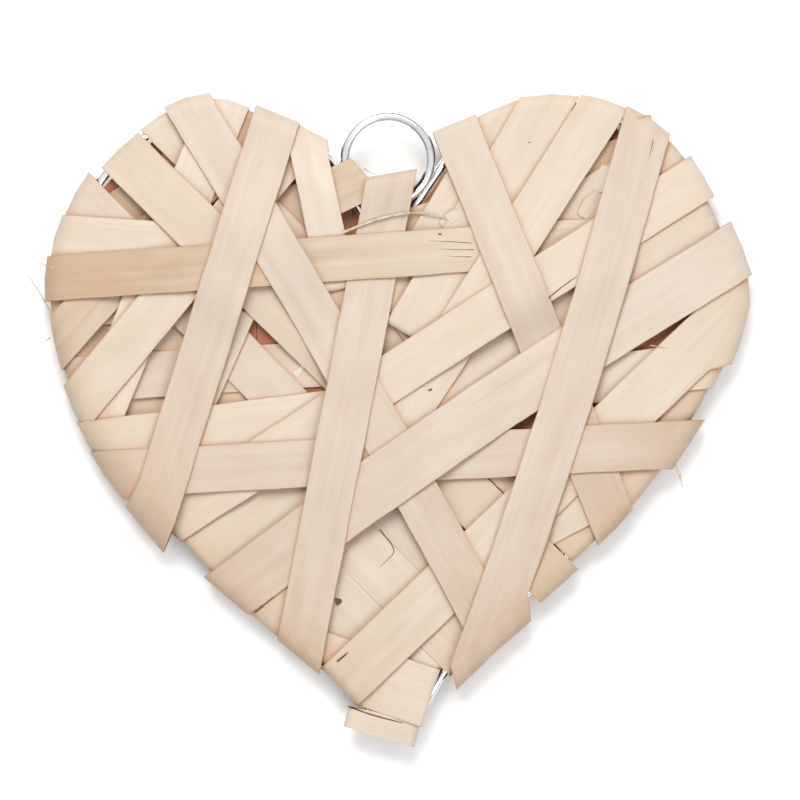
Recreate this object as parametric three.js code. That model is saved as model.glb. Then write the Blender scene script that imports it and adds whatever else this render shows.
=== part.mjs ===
// Woven heart ornament: strips of wood chip wound round a heart of bright steel wire, with a
// wire ring in the cleft. It lies on its back, front up. Millimetres, +Z up, +Y towards the
// cleft, origin under the middle of the object, on the surface that it lies on.

import * as THREE from 'three';

// Driving dimensions

const WIRE_RADIUS = 1.0;
const RING_MIDDLE_RADIUS = 9.15;
const RING_CENTRE = [-1.5, 55.2];
const RING_LIFT = 2.2;

const CHIP_THICKNESS = 0.4;
const CHIP_GAP = 0.1;
const CHIP_PITCH = CHIP_THICKNESS + CHIP_GAP;
const WIRE_GAP = 0.2;
const INNER_LIFT = 0.8;

// How far behind an open strip's tail runs

const TAIL_LENGTH = 12;

// How finely the solids are divided

const FRONT_STEP = 8.5;
const BACK_STEP = 12;
const WIRE_SIDES = 6;
const RING_SIDES = 8;
const RING_STEPS = 24;
const STEPS_BETWEEN_MARKS = 2;
const LEAST_FRONT_STEPS = 3;
const LEAST_BACK_STEPS = 2;
const FOLD_ANGLES = [45, 90, 135].map(THREE.MathUtils.degToRad);

// How closely crossings are looked for, along and across a strip, on the ring and on the rim

const SAMPLE_STEP = 1.7;
const SAMPLES_ACROSS = 8;
const SAMPLES_BEYOND = 2;
const RING_SAMPLES = 72;
const RIM_SAMPLES = 10;

// How far outside a strip a crossing still counts: past its ends, past its edges as a share of
// half its width, and along the rim in outline steps

const FOLD_MARGIN = 2.5;
const EDGE_MARGIN = 0.03;
const RIM_MARGIN = 0.15;

// How the strips settle: rounds with the strips drawn taut, then rounds without, how strongly
// they straighten and sink inwards each round, and how much of an overlap one round takes away

const SLACK_ROUNDS = 420;
const FIRM_ROUNDS = 160;
const TAUTNESS = 0.35;
const DRIFT = 0.012;
const FIRMNESS = 0.6;

// The share of a push that the outer strip of a crossing takes, while slack and while firm

const SLACK_OUTER_SHARE = 0.4;
const FIRM_OUTER_SHARE = 0.5;

const NEARLY_PARALLEL = 1e-9;

// Marks that the heart's wire passes through, from the bottom of the cleft round by the left

const HEART_MARKS = [
  [-1.7, 37.3], [-7.9, 45.4], [-13.2, 54.6], [-21.2, 59.8], [-30.0, 63.4], [-38.5, 66.4],
  [-46.0, 64.9], [-54.0, 59.5], [-62.4, 51.2], [-69.0, 38.1], [-70.0, 23.2], [-64.8, 4.6],
  [-55.8, -10.8], [-37.4, -32.3], [-12.8, -52.9], [-3.2, -63.7], [1.1, -66.5], [4.7, -63.3],
  [11.2, -53.1], [29.9, -35.4], [46.9, -19.6], [59.2, -3.2], [68.5, 13.5], [71.7, 27.3],
  [67.9, 38.6], [58.9, 55.4], [46.4, 64.4], [32.4, 66.6], [17.4, 62.4], [9.6, 53.3],
  [3.4, 44.2],
];

// Finishes of the bare solids

const FINISHES = {
  steel: { color: 0xd7dade, roughness: 0.22, metalness: 1 },
  cream: { color: 0xf0e3cd, roughness: 0.75, metalness: 0 },
  pink: { color: 0xe6d0b8, roughness: 0.75, metalness: 0 },
  tan: { color: 0xdfbf9c, roughness: 0.75, metalness: 0 },
  pale: { color: 0xf3eada, roughness: 0.75, metalness: 0 },
};

// The strips, outermost first. Each runs straight over the front between two marks on the rim,
// folds round the wire at both ends and runs back behind. square: the end is cut or folded
// across the strip and not along the rim. slant: how far such an end leans, along per across.
// loose: how far each fold stands off what it wraps. bow: how far the strip bends sideways in
// its middle. open: the second end is cut short of the rim, and behind only a tail is left.

const STRIPS = [
  {
    name: 'tall_right', ends: [[53.8, 63.5], [17.2, -53.1]], width: 10.6, finish: 'pink', bow: 1.4,
    loose: [0, 1],
  },
  { name: 'tall_left', ends: [[-24.7, 65.6], [-52.3, -23.3]], width: 10, finish: 'pink' },
  {
    name: 'tall_middle', ends: [[-0.9, 50.8], [-20.9, -52.5]], width: 10.2, finish: 'pink',
    square: [true, false], slant: [-0.38, 0],
  },
  { name: 'broad_slope', ends: [[-36.8, -38.6], [72.8, 35.4]], width: 12.2, finish: 'pink', bow: 2 },
  { name: 'left_slope', ends: [[-44.9, 68.4], [22.8, -49.7]], width: 9.8, finish: 'pink', bow: 1.2 },
  {
    name: 'lower_level', ends: [[-61.7, -11.8], [63.2, -5.4]], width: 10, finish: 'pink',
    loose: [0, 1.4],
  },
  {
    name: 'right_slope', ends: [[13.1, 61.5], [47.9, -25.2]], width: 10, finish: 'pink',
    square: [true, false],
  },
  {
    name: 'upper_rise', ends: [[-48.3, -22.0], [65.3, 51.6]], width: 10, finish: 'pale',
    loose: [0, 0.8],
  },
  {
    name: 'crown_slope', ends: [[43.6, 65.6], [-29.2, -48.2]], width: 10, finish: 'cream',
    loose: [0, 0.8],
  },
  { name: 'second_rise', ends: [[-43.2, -30.1], [69.2, 43.9]], width: 9.8, finish: 'cream' },
  { name: 'upper_level', ends: [[-74.7, 29.7], [72.4, 39.9]], width: 9.6, finish: 'tan' },
  {
    name: 'lower_rise', ends: [[-8.5, -54.0], [72.8, 23.7]], width: 11.2, finish: 'cream',
    loose: [0, 1],
  },
  { name: 'middle_level', ends: [[-65.8, -5.6], [71.5, 12.0]], width: 10, finish: 'cream' },
  {
    name: 'second_fall', ends: [[-60.6, 59.1], [37.7, -38.3]], width: 10.8, finish: 'cream',
    loose: [0, 1.6],
  },
  { name: 'lobe_short', ends: [[-19.8, 63.5], [-12.1, 27.4]], width: 7.9, finish: 'pale', open: true },
  { name: 'lobe_slant', ends: [[-68.1, 2.2], [-17.0, 63.9]], width: 9.8, finish: 'cream' },
  { name: 'left_level', ends: [[-73.8, 38.8], [-22.3, 34.8]], width: 9.8, finish: 'cream', open: true },
  { name: 'pale_slant', ends: [[-35.5, 68.2], [-65.3, -5.2]], width: 10, finish: 'pale' },
  { name: 'inner_slant', ends: [[-56.4, -25.9], [-34.3, 23.8]], width: 10, finish: 'cream', open: true },
  { name: 'third_fall', ends: [[-68.1, 48.0], [28.7, -48.8]], width: 10.2, finish: 'pink' },
  { name: 'lobe_slant_outer', ends: [[-73.4, 14.6], [-29.2, 63.5]], width: 9.4, finish: 'tan' },
  { name: 'crown_slant', ends: [[31.6, 66.1], [2.6, 17.8]], width: 10.6, finish: 'cream', open: true },
  { name: 'crown_left', ends: [[24.6, 65.5], [4.2, 31.5]], width: 10, finish: 'cream', open: true },
  { name: 'under_level', ends: [[-75.1, 24.4], [22.3, 28.4]], width: 9.8, finish: 'cream', open: true },
  { name: 'first_rise', ends: [[60.6, 58.6], [0.0, 19.3]], width: 9.8, finish: 'cream', open: true },
  { name: 'cleft_rise', ends: [[57.5, 57.7], [-2.0, 38.0]], width: 9.8, finish: 'tan', open: true },
  {
    name: 'tip_wrap', ends: [[-8.9, -63.9], [3.2, -67.1]], width: 4.0, finish: 'pale',
    square: [true, true],
  },
  { name: 'bottom_rise', ends: [[62.8, -6.3], [23.4, -26.3]], width: 10, finish: 'cream', open: true },
  { name: 'first_fall', ends: [[-51.1, 65.4], [43.6, -29.3]], width: 10, finish: 'cream' },
  { name: 'side_rise', ends: [[65.5, 3.5], [35.1, -17.1]], width: 10, finish: 'tan', open: true },
  { name: 'inner_level', ends: [[-69.2, 8.2], [4.0, 13.0]], width: 9.8, finish: 'pink', open: true },
  { name: 'fourth_fall', ends: [[-72.6, 37.8], [14.6, -49.9]], width: 10, finish: 'cream' },
  { name: 'tip_band', ends: [[-17.2, -51.3], [7.6, -59.6]], width: 12.2, finish: 'pale', open: true },
  { name: 'fifth_fall', ends: [[-72.0, 20.3], [5.2, -57.3]], width: 11.2, finish: 'cream', open: true },
  { name: 'lobe_lining', ends: [[-72.6, 32.4], [-36.2, 59.3]], width: 11, finish: 'tan', open: true },
  {
    name: 'cleft_band', ends: [[-74.2, 20.3], [-7.4, 51.0]], width: 9.8, finish: 'tan',
    slant: [0, 0.3], open: true,
  },
];

// On the front these pairs cross the other way round: the first lies over the second

const FRONT_SWAPS = [['upper_level', 'tall_middle']];

// On the back the outermost strips lie level, so that the ornament lies steady

const LEVEL_ON_BACK = ['tall_right', 'tall_left', 'tall_middle'];

// Plan geometry: points are [x, y]

const add = (a, b, k = 1) => [a[0] + b[0] * k, a[1] + b[1] * k];
const dot = (a, b) => a[0] * b[0] + a[1] * b[1];
const cross = (a, b) => a[0] * b[1] - a[1] * b[0];
const mix = (a, b, t) => a + (b - a) * t;

function unit(v) {
  const length = Math.hypot(v[0], v[1]);
  return [v[0] / length, v[1] / length];
}

// The outline of the wire as a closed run of points with their outward directions
function heartOutline() {
  const marks = HEART_MARKS.map(([x, y]) => new THREE.Vector3(x, y, 0));
  const curve = new THREE.CatmullRomCurve3(marks, true, 'centripetal');
  const count = marks.length * STEPS_BETWEEN_MARKS;
  const outline = [];
  for (let i = 0; i < count; i++) {
    const point = curve.getPoint(i / count);
    outline.push([point.x, point.y]);
  }
  return outline;
}

const OUTLINE = heartOutline();

// Marks run anticlockwise, so the outward direction is to the right of the way round
function outwardAt(index) {
  const n = OUTLINE.length;
  const along = unit(add(OUTLINE[(index + 1) % n], OUTLINE[(index + n - 1) % n], -1));
  return [along[1], -along[0]];
}

// The shorter way round from one place on the outline to another, in outline steps
function outlineSteps(from, to) {
  const n = OUTLINE.length;
  const steps = (to - from + n) % n;
  return steps > n / 2 ? steps - n : steps;
}

// Where a line meets the outline nearest to a wanted distance along it
function meetOutline(origin, direction, wanted) {
  const n = OUTLINE.length;
  let best = null;
  for (let i = 0; i < n; i++) {
    const a = OUTLINE[i];
    const side = add(OUTLINE[(i + 1) % n], a, -1);
    const turn = cross(direction, side);
    if (Math.abs(turn) < NEARLY_PARALLEL) continue;
    const toA = add(a, origin, -1);
    const along = cross(toA, side) / turn;
    const share = cross(toA, direction) / turn;
    if (share < 0 || share >= 1) continue;
    if (best && Math.abs(best.along - wanted) < Math.abs(along - wanted)) continue;
    const start = outwardAt(i);
    const end = outwardAt((i + 1) % n);
    const outward = unit([mix(start[0], end[0], share), mix(start[1], end[1], share)]);
    best = { along, place: i + share, outward };
  }
  return best;
}

const EDGES = [-1, 0, 1];
const PLAIN = { square: [false, false], slant: [0, 0], loose: [0, 0], bow: 0, open: false };

// One strip in plan: distances along it and across it, and its two ends
class Strip {
  constructor(data, rank) {
    Object.assign(this, PLAIN, data, { rank });
    const [from, to] = this.ends;
    this.direction = unit(add(to, from, -1));
    this.side = [-this.direction[1], this.direction[0]];
    this.middle = [(from[0] + to[0]) / 2, (from[1] + to[1]) / 2];
    const reach = dot(add(to, this.middle, -1), this.direction);
    this.edges = EDGES.map((edge) => {
      const origin = add(this.middle, this.side, (edge * this.width) / 2);
      return [-reach, reach].map((wanted, end) => {
        const met = meetOutline(origin, this.direction, wanted);
        const onRim = !this.square[end] && !(this.open && end === 1) && met;
        if (onRim) return met;
        const away = end === 0 ? -1 : 1;
        const along = wanted + (this.slant[end] * edge * this.width) / 2;
        return { along, place: null, outward: this.direction.map((way) => way * away) };
      });
    });
    this.length = 2 * reach;
    this.tail = this.open ? Math.min(1, TAIL_LENGTH / this.length) : 1;
    this.frontSteps = Math.max(LEAST_FRONT_STEPS, Math.round(this.length / FRONT_STEP));
    this.backSteps = Math.max(LEAST_BACK_STEPS, Math.round((this.length * this.tail) / BACK_STEP));
  }

  // A parabola: nothing at the two ends, all of the bow in the middle
  bowAt(along) {
    const share = along / this.length + 0.5;
    return this.bow * 4 * share * (1 - share);
  }

  // The distance along the strip at a share of its length, for an edge from -1 to 1. The fold
  // lines at the two ends are bent at the middle, so that they follow the wire.
  alongAt(share, edge) {
    const half = edge < 0 ? 0 : 1;
    const within = edge + 1 - half;
    const start = mix(this.edges[half][0].along, this.edges[half + 1][0].along, within);
    const end = mix(this.edges[half][1].along, this.edges[half + 1][1].along, within);
    return mix(start, end, share);
  }

  pointAt(share, edge) {
    const along = this.alongAt(share, edge);
    const across = (edge * this.width) / 2 + this.bowAt(along);
    return add(add(this.middle, this.direction, along), this.side, across);
  }

  // The share of the length that the strip runs on the front or on the back
  runShare(front) {
    return front ? 1 : this.tail;
  }

  // The share of that run at a point, or null where the strip isn't there
  locate(point, front) {
    const off = add(point, this.middle, -1);
    const along = dot(off, this.direction);
    const edge = (dot(off, this.side) - this.bowAt(along)) / (this.width / 2);
    if (Math.abs(edge) > 1 + EDGE_MARGIN) return null;
    const start = this.alongAt(0, edge);
    const end = this.alongAt(this.runShare(front), edge);
    if (along < start - FOLD_MARGIN || along > end + FOLD_MARGIN) return null;
    return Math.min(1, Math.max(0, (along - start) / (end - start)));
  }
}

const strips = STRIPS.map((data, rank) => new Strip(data, rank));

// Places where one strip lies over another, or over a wire, as limits on the strips' lifts. A
// lift is the distance of a strip's outer face from the plane of the heart.

function knotAt(share, steps) {
  const first = Math.min(Math.floor(share * steps), steps - 1);
  const weight = share * steps - first;
  return { first, low: 1 - weight, high: weight };
}

function samplePoints(strip) {
  const points = [];
  const rows = Math.ceil(strip.length / SAMPLE_STEP);
  for (let row = -SAMPLES_BEYOND; row <= rows + SAMPLES_BEYOND; row++) {
    for (let column = 0; column <= SAMPLES_ACROSS; column++) {
      points.push(strip.pointAt(row / rows, -1 + (2 * column) / SAMPLES_ACROSS));
    }
  }
  return points;
}

function liesOver(first, second, front) {
  if (front) {
    for (const [over, under] of FRONT_SWAPS) {
      if (first.name === over && second.name === under) return true;
      if (first.name === under && second.name === over) return false;
    }
  }
  return first.rank < second.rank;
}

function crossingLimits(front) {
  const limits = [];
  const steps = front ? 'frontSteps' : 'backSteps';
  for (const strip of strips) {
    for (const point of samplePoints(strip)) {
      const here = strip.locate(point, front);
      if (here === null) continue;
      for (const other of strips) {
        if (other === strip) continue;
        const there = other.locate(point, front);
        if (there === null) continue;
        const over = liesOver(strip, other, front);
        limits.push({
          over: over ? strip : other,
          under: over ? other : strip,
          overKnot: knotAt(over ? here : there, over ? strip[steps] : other[steps]),
          underKnot: knotAt(over ? there : here, over ? other[steps] : strip[steps]),
          least: CHIP_PITCH,
        });
      }
    }
  }
  return limits;
}

function wireLimits(front) {
  const limits = [];
  const steps = front ? 'frontSteps' : 'backSteps';
  const overWire = WIRE_RADIUS + WIRE_GAP + CHIP_THICKNESS;
  const places = [];
  OUTLINE.forEach((point, i) => {
    const outward = outwardAt(i);
    const side = add(OUTLINE[(i + 1) % OUTLINE.length], point, -1);
    for (let k = 0; k < SAMPLES_ACROSS; k++) {
      const middle = add(point, side, k / SAMPLES_ACROSS);
      for (const edge of EDGES) places.push([add(middle, outward, edge * WIRE_RADIUS), overWire]);
    }
  });
  for (let i = 0; front && i < RING_SAMPLES; i++) {
    const angle = (i / RING_SAMPLES) * 2 * Math.PI;
    for (const edge of EDGES) {
      const radius = RING_MIDDLE_RADIUS + edge * WIRE_RADIUS;
      const point = add(RING_CENTRE, [Math.cos(angle), Math.sin(angle)], radius);
      places.push([point, RING_LIFT + overWire]);
    }
  }
  for (const [point, least] of places) {
    for (const strip of strips) {
      const share = strip.locate(point, front);
      if (share === null) continue;
      limits.push({ over: strip, overKnot: knotAt(share, strip[steps]), least });
    }
  }
  return limits;
}

// Draw every strip taut and push crossing strips apart until each lies as its limits say
function settle(front) {
  const limits = [...crossingLimits(front), ...wireLimits(front)];
  const lifts = new Map();
  for (const strip of strips) {
    const steps = front ? strip.frontSteps : strip.backSteps;
    lifts.set(strip, new Float64Array(steps + 1).fill(INNER_LIFT));
  }
  for (let round = 0; round < SLACK_ROUNDS + FIRM_ROUNDS; round++) {
    const slack = round < SLACK_ROUNDS;
    if (slack) {
      for (const lift of lifts.values()) drawTaut(lift);
    }
    const outerShare = slack ? SLACK_OUTER_SHARE : FIRM_OUTER_SHARE;
    for (const limit of limits) pushApart(limit, lifts, outerShare);
  }
  return lifts;
}

function drawTaut(lift) {
  const last = lift.length - 1;
  for (let k = 0; k <= last; k++) {
    const before = lift[Math.max(0, k - 1)];
    const after = lift[Math.min(last, k + 1)];
    const taut = lift[k] + TAUTNESS * ((before + after) / 2 - lift[k]);
    lift[k] = Math.max(INNER_LIFT, taut - DRIFT);
  }
}

function pushApart({ over, under, overKnot, underKnot, least }, lifts, outerShare) {
  const upper = lifts.get(over);
  const { first: i, low: a, high: b } = overKnot;
  const height = upper[i] * a + upper[i + 1] * b;
  if (!under) {
    const push = Math.max(0, least - height) / (a * a + b * b);
    upper[i] += push * a;
    upper[i + 1] += push * b;
    return;
  }
  const lower = lifts.get(under);
  const { first: j, low: c, high: d } = underKnot;
  const short = least - height + lower[j] * c + lower[j + 1] * d;
  if (short <= 0) return;
  const push = (2 * FIRMNESS * short) / (a * a + b * b + c * c + d * d);
  const up = push * outerShare;
  const down = push * (1 - outerShare);
  upper[i] += up * a;
  upper[i + 1] += up * b;
  lower[j] = Math.max(INNER_LIFT, lower[j] - down * c);
  lower[j + 1] = Math.max(INNER_LIFT, lower[j + 1] - down * d);
}

// The outermost strips lie level on the back, at the depth of the thickest place
function levelBack(lifts) {
  const depth = Math.max(...[...lifts.values()].map((lift) => Math.max(...lift)));
  for (const [strip, lift] of lifts) {
    if (LEVEL_ON_BACK.includes(strip.name)) lift.fill(depth, 1, lift.length - 1);
  }
}

const frontLifts = settle(true);
const backLifts = settle(false);
levelBack(backLifts);

// Folds: each stands far enough out to clear the wire and the folds that it wraps

class Fold {
  constructor(strip, end) {
    Object.assign(this, { strip, end });
    this.corners = EDGES.map((edge) => strip.pointAt(end, edge));
    this.places = EDGES.map((edge, column) => strip.edges[column][end].place);
    this.onRim = this.places.every((place) => place !== null);
    this.reach = WIRE_RADIUS + WIRE_GAP + CHIP_THICKNESS;
  }

  // Rim points between the edges of the strip: place on the outline, point and outward way
  rimPoints() {
    const n = OUTLINE.length;
    const [start, , stop] = this.places;
    const way = outlineSteps(start, stop);
    const points = [];
    for (let i = 0; i <= RIM_SAMPLES; i++) {
      const place = (start + (way * i) / RIM_SAMPLES + n) % n;
      const index = Math.floor(place);
      const [a, b] = [OUTLINE[index % n], OUTLINE[(index + 1) % n]];
      const point = add(a, add(b, a, -1), place - index);
      points.push({ place, point, outward: outwardAt(index % n) });
    }
    return points;
  }

  covers(place) {
    const [start, , stop] = this.places;
    const way = outlineSteps(start, stop);
    const off = outlineSteps(start, place) * Math.sign(way);
    return off >= -RIM_MARGIN && off <= Math.abs(way) + RIM_MARGIN;
  }

  // How far outward of a rim point the fold line runs
  offsetAt(point, outward) {
    let best = null;
    for (const half of [0, 1]) {
      const [a, b] = [this.corners[half], this.corners[half + 1]];
      const along = add(b, a, -1);
      const turn = cross(outward, along);
      const share = cross(add(point, a, -1), outward) / cross(along, outward);
      const miss = Math.max(0, -share, share - 1);
      const offset = cross(add(a, point, -1), along) / turn;
      if (!best || miss < best.miss) best = { miss, offset };
    }
    return best.offset;
  }
}

// The folds of all strips, innermost first
function allFolds() {
  const folds = [];
  for (const strip of [...strips].reverse()) {
    for (const end of strip.open ? [0] : [0, 1]) {
      const fold = new Fold(strip, end);
      const least = fold.reach;
      for (const { place, point, outward } of fold.onRim ? fold.rimPoints() : []) {
        const offset = fold.offsetAt(point, outward);
        fold.reach = Math.max(fold.reach, least - offset);
        for (const inner of folds) {
          if (!inner.onRim || !inner.covers(place)) continue;
          const wrapped = inner.offsetAt(point, outward) + inner.reach + CHIP_PITCH;
          fold.reach = Math.max(fold.reach, wrapped - offset);
        }
      }
      fold.reach += strip.loose[end];
      folds.push(fold);
    }
  }
  return folds;
}

const folds = allFolds();

// Solids

const FINISHED = Object.fromEntries(
  Object.entries(FINISHES).map(([name, finish]) => [name, new THREE.MeshStandardMaterial(finish)]),
);

function bodyGeometry(positions, index) {
  const geometry = new THREE.BufferGeometry();
  geometry.setAttribute('position', new THREE.Float32BufferAttribute(positions, 3));
  geometry.setIndex(signedVolume(positions, index) < 0 ? turnedRound(index) : index);
  geometry.computeVertexNormals();
  return geometry;
}

function signedVolume(positions, index) {
  const corner = (i) => new THREE.Vector3().fromArray(positions, 3 * index[i]);
  let volume = 0;
  for (let i = 0; i < index.length; i += 3) {
    volume += corner(i).dot(corner(i + 1).cross(corner(i + 2))) / 6;
  }
  return volume;
}

function turnedRound(index) {
  const turned = [];
  for (let i = 0; i < index.length; i += 3) turned.push(index[i], index[i + 2], index[i + 1]);
  return turned;
}

// A round wire along a closed run of points that lie in the plane of the heart
function wireGeometry(points, outward, radius, sides) {
  const positions = [];
  const index = [];
  const n = points.length;
  points.forEach((point, i) => {
    for (let k = 0; k < sides; k++) {
      const angle = ((k + 0.5) / sides) * 2 * Math.PI;
      positions.push(...add(point, outward(i), radius * Math.cos(angle)), radius * Math.sin(angle));
      const [a, b] = [i * sides + k, i * sides + ((k + 1) % sides)];
      const [c, d] = [((i + 1) % n) * sides + ((k + 1) % sides), ((i + 1) % n) * sides + k];
      index.push(a, b, c, a, c, d);
    }
  });
  return bodyGeometry(positions, index);
}

// A strip's body from its stations. A station holds two or three points across the outer face
// and the same across the inner face.
function chipGeometry(stations, closed) {
  const positions = [];
  const rows = stations.map(({ outer, inner }) =>
    [outer, inner].map((face) => face.map((point) => positions.push(...point) / 3 - 1)),
  );
  const index = [];
  const runs = closed ? rows.length : rows.length - 1;
  for (let i = 0; i < runs; i++) {
    const [outer, inner] = rows[i];
    const [nextOuter, nextInner] = rows[(i + 1) % rows.length];
    bridge(outer, nextOuter, index);
    bridge([...inner].reverse(), [...nextInner].reverse(), index);
    bridge([inner[0], outer[0]], [nextInner[0], nextOuter[0]], index);
    bridge([outer.at(-1), inner.at(-1)], [nextOuter.at(-1), nextInner.at(-1)], index);
  }
  if (!closed) {
    for (const [row, turn] of [[rows[0], false], [rows.at(-1), true]]) {
      const cap = [];
      bridge(row[0], row[1], cap);
      index.push(...(turn ? cap : turnedRound(cap)));
    }
  }
  return bodyGeometry(positions, index);
}

// Triangles between two rows of two or three points
function bridge(row, next, index) {
  let [i, j] = [0, 0];
  while (i < row.length - 1 || j < next.length - 1) {
    const rowShare = (i + 1) / (row.length - 1);
    const nextShare = (j + 1) / (next.length - 1);
    if (rowShare <= nextShare && i < row.length - 1) {
      index.push(row[i], row[i + 1], next[j]);
      i++;
    } else {
      index.push(row[i], next[j + 1], next[j]);
      j++;
    }
  }
}

// The stations of one pass, front or back, from the first end of the strip to the second
function passStations(strip, lifts, front) {
  const last = lifts.length - 1;
  const run = strip.runShare(front);
  const face = front ? 1 : -1;
  return [...lifts].map((lift, k) => {
    const edges = k === 0 || k === last ? EDGES : [EDGES[0], EDGES[2]];
    const across = edges.map((edge) => strip.pointAt((k / last) * run, edge));
    return {
      outer: across.map((point) => [...point, face * lift]),
      inner: across.map((point) => [...point, face * (lift - CHIP_THICKNESS)]),
    };
  });
}

// The stations of one fold, from the front round the wire to the back
function foldStations(strip, end, front, back) {
  const { reach, corners } = folds.find((fold) => fold.strip === strip && fold.end === end);
  return FOLD_ANGLES.map((angle) => {
    const lifts = angle < Math.PI / 2 ? front : back;
    const lift = end === 0 ? lifts[0] : lifts.at(-1);
    const [outer, inner] = [0, CHIP_THICKNESS].map((depth) =>
      corners.map((corner, column) => {
        const { outward } = strip.edges[column][end];
        const point = add(corner, outward, (reach - depth) * Math.sin(angle));
        return [...point, (lift - depth) * Math.cos(angle)];
      }),
    );
    return { outer, inner };
  });
}

function stripGeometry(strip) {
  const front = frontLifts.get(strip);
  const back = backLifts.get(strip);
  const stations = [
    ...passStations(strip, front, true).reverse(),
    ...foldStations(strip, 0, front, back),
    ...passStations(strip, back, false),
  ];
  if (!strip.open) stations.push(...foldStations(strip, 1, front, back).reverse());
  return chipGeometry(stations, !strip.open);
}

const heart = new THREE.Group();
const laid = new THREE.Group();
heart.add(laid);

function addPiece(name, geometry, finish) {
  const mesh = new THREE.Mesh(geometry, FINISHED[finish]);
  mesh.name = name;
  laid.add(mesh);
  return mesh;
}

addPiece('heart_wire_frame', wireGeometry(OUTLINE, outwardAt, WIRE_RADIUS, WIRE_SIDES), 'steel');

const ringPoints = [];
for (let i = 0; i < RING_STEPS; i++) {
  const angle = (i / RING_STEPS) * 2 * Math.PI;
  ringPoints.push([RING_MIDDLE_RADIUS * Math.cos(angle), RING_MIDDLE_RADIUS * Math.sin(angle)]);
}
const ringOutward = (i) => unit(ringPoints[i]);
const ringGeometry = wireGeometry(ringPoints, ringOutward, WIRE_RADIUS, RING_SIDES);
const ring = addPiece('hanging_ring', ringGeometry, 'steel');
ring.position.set(RING_CENTRE[0], RING_CENTRE[1], RING_LIFT);

for (const strip of strips) addPiece(`chip_${strip.name}`, stripGeometry(strip), strip.finish);

// The origin goes under the middle of the object, on the surface that it lies on
const box = new THREE.Box3().setFromObject(heart);
laid.position.set(-(box.min.x + box.max.x) / 2, -(box.min.y + box.max.y) / 2, -box.min.z);

export default heart;
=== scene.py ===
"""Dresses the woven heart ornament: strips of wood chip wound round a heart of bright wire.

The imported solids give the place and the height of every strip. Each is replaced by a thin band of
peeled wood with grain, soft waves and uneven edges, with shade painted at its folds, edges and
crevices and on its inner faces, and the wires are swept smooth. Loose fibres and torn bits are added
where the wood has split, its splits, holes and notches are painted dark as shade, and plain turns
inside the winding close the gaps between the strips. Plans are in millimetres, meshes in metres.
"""

import logging
import math
from dataclasses import dataclass, field
from enum import Enum

import bpy
import numpy as np
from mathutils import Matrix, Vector, noise
from mathutils.bvhtree import BVHTree

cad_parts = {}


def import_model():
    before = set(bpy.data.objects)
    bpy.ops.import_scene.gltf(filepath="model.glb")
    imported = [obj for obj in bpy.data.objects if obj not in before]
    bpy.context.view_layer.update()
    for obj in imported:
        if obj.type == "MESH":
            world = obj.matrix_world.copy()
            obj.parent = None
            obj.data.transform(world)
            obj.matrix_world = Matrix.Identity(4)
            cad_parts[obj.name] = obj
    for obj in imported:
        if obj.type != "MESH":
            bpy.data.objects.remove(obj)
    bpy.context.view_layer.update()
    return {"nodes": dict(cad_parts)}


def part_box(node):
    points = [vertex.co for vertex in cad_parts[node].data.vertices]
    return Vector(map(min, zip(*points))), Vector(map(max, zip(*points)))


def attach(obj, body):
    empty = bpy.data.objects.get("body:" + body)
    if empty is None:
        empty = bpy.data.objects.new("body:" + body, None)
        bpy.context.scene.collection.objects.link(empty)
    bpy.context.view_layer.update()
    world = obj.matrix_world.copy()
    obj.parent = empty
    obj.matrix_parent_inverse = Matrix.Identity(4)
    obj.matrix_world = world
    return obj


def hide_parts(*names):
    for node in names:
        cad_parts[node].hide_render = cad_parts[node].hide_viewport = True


LOG = logging.getLogger("woven_heart")

MM = 0.001
GRAIN_UV = "grain"
SPAN_UV = "span"
BODY = "root"
MIDDLE_TONE = 0.5
PARALLEL = 1e-9
TINY = 1e-6

# Millimetres from which a search line starts outside the ornament, and a distance past its rim.
FAR = 40.0
BEYOND = 1000.0

# Places across a strip, from one edge to the other.
EDGE_SHARES = np.linspace(-1.0, 1.0, 9)

# A search for other strips over a point, whose share of blocked lines is painted as shade beside and
# under them: it starts just off the wood and looks straight out and along two leaning rings, each
# given by its lean and the turns of its lines.
CREVICE_LIFT = 0.1
CREVICE_REACH = 6.0
CREVICE_ROUNDS = 2
CREVICE_RINGS = ((0.75, (0.3, 1.87, 3.44, 5.01)), (1.2, (1.1, 3.2, 5.3)))
CREVICE_WAYS = ((0.0, 0.0, 1.0),) + tuple(
    (math.cos(turn) * math.sin(lean), math.sin(turn) * math.sin(lean), math.cos(lean))
    for lean, turns in CREVICE_RINGS
    for turn in turns
)
CREVICE_TOTAL = sum(way[2] for way in CREVICE_WAYS)

# How a loose run of points is softened: the points taken together, and how many times.
SOFTEN_POINTS = 5
SOFTEN_ROUNDS = 2


class Tone(Enum):
    """The shades of peeled wood on the ornament, by the slot of each in the record."""

    CREAM = "chip_cream"
    PINK = "chip_pink"
    TAN = "chip_tan"
    PALE = "chip_pale"


Rgb = tuple[float, float, float]
Place = tuple[float, float, float]
Point = tuple[float, float]
Range = tuple[float, float]


def unit(vector: np.ndarray) -> np.ndarray:
    """Returns the vector at length one."""
    return vector / np.linalg.norm(vector)


def cross(a: np.ndarray, b: np.ndarray) -> float:
    """Returns the plan cross product of two plan vectors."""
    return float(a[0] * b[1] - a[1] * b[0])


def placed(name: str, data: bpy.types.ID) -> bpy.types.Object:
    """Makes an object at the origin and puts it in the scene.

    Args:
        name: the object's name.
        data: its mesh, camera or light.

    Returns:
        The new object.
    """
    made = bpy.data.objects.new(name, data)
    bpy.context.scene.collection.objects.link(made)
    return made


# Node trees


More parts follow.
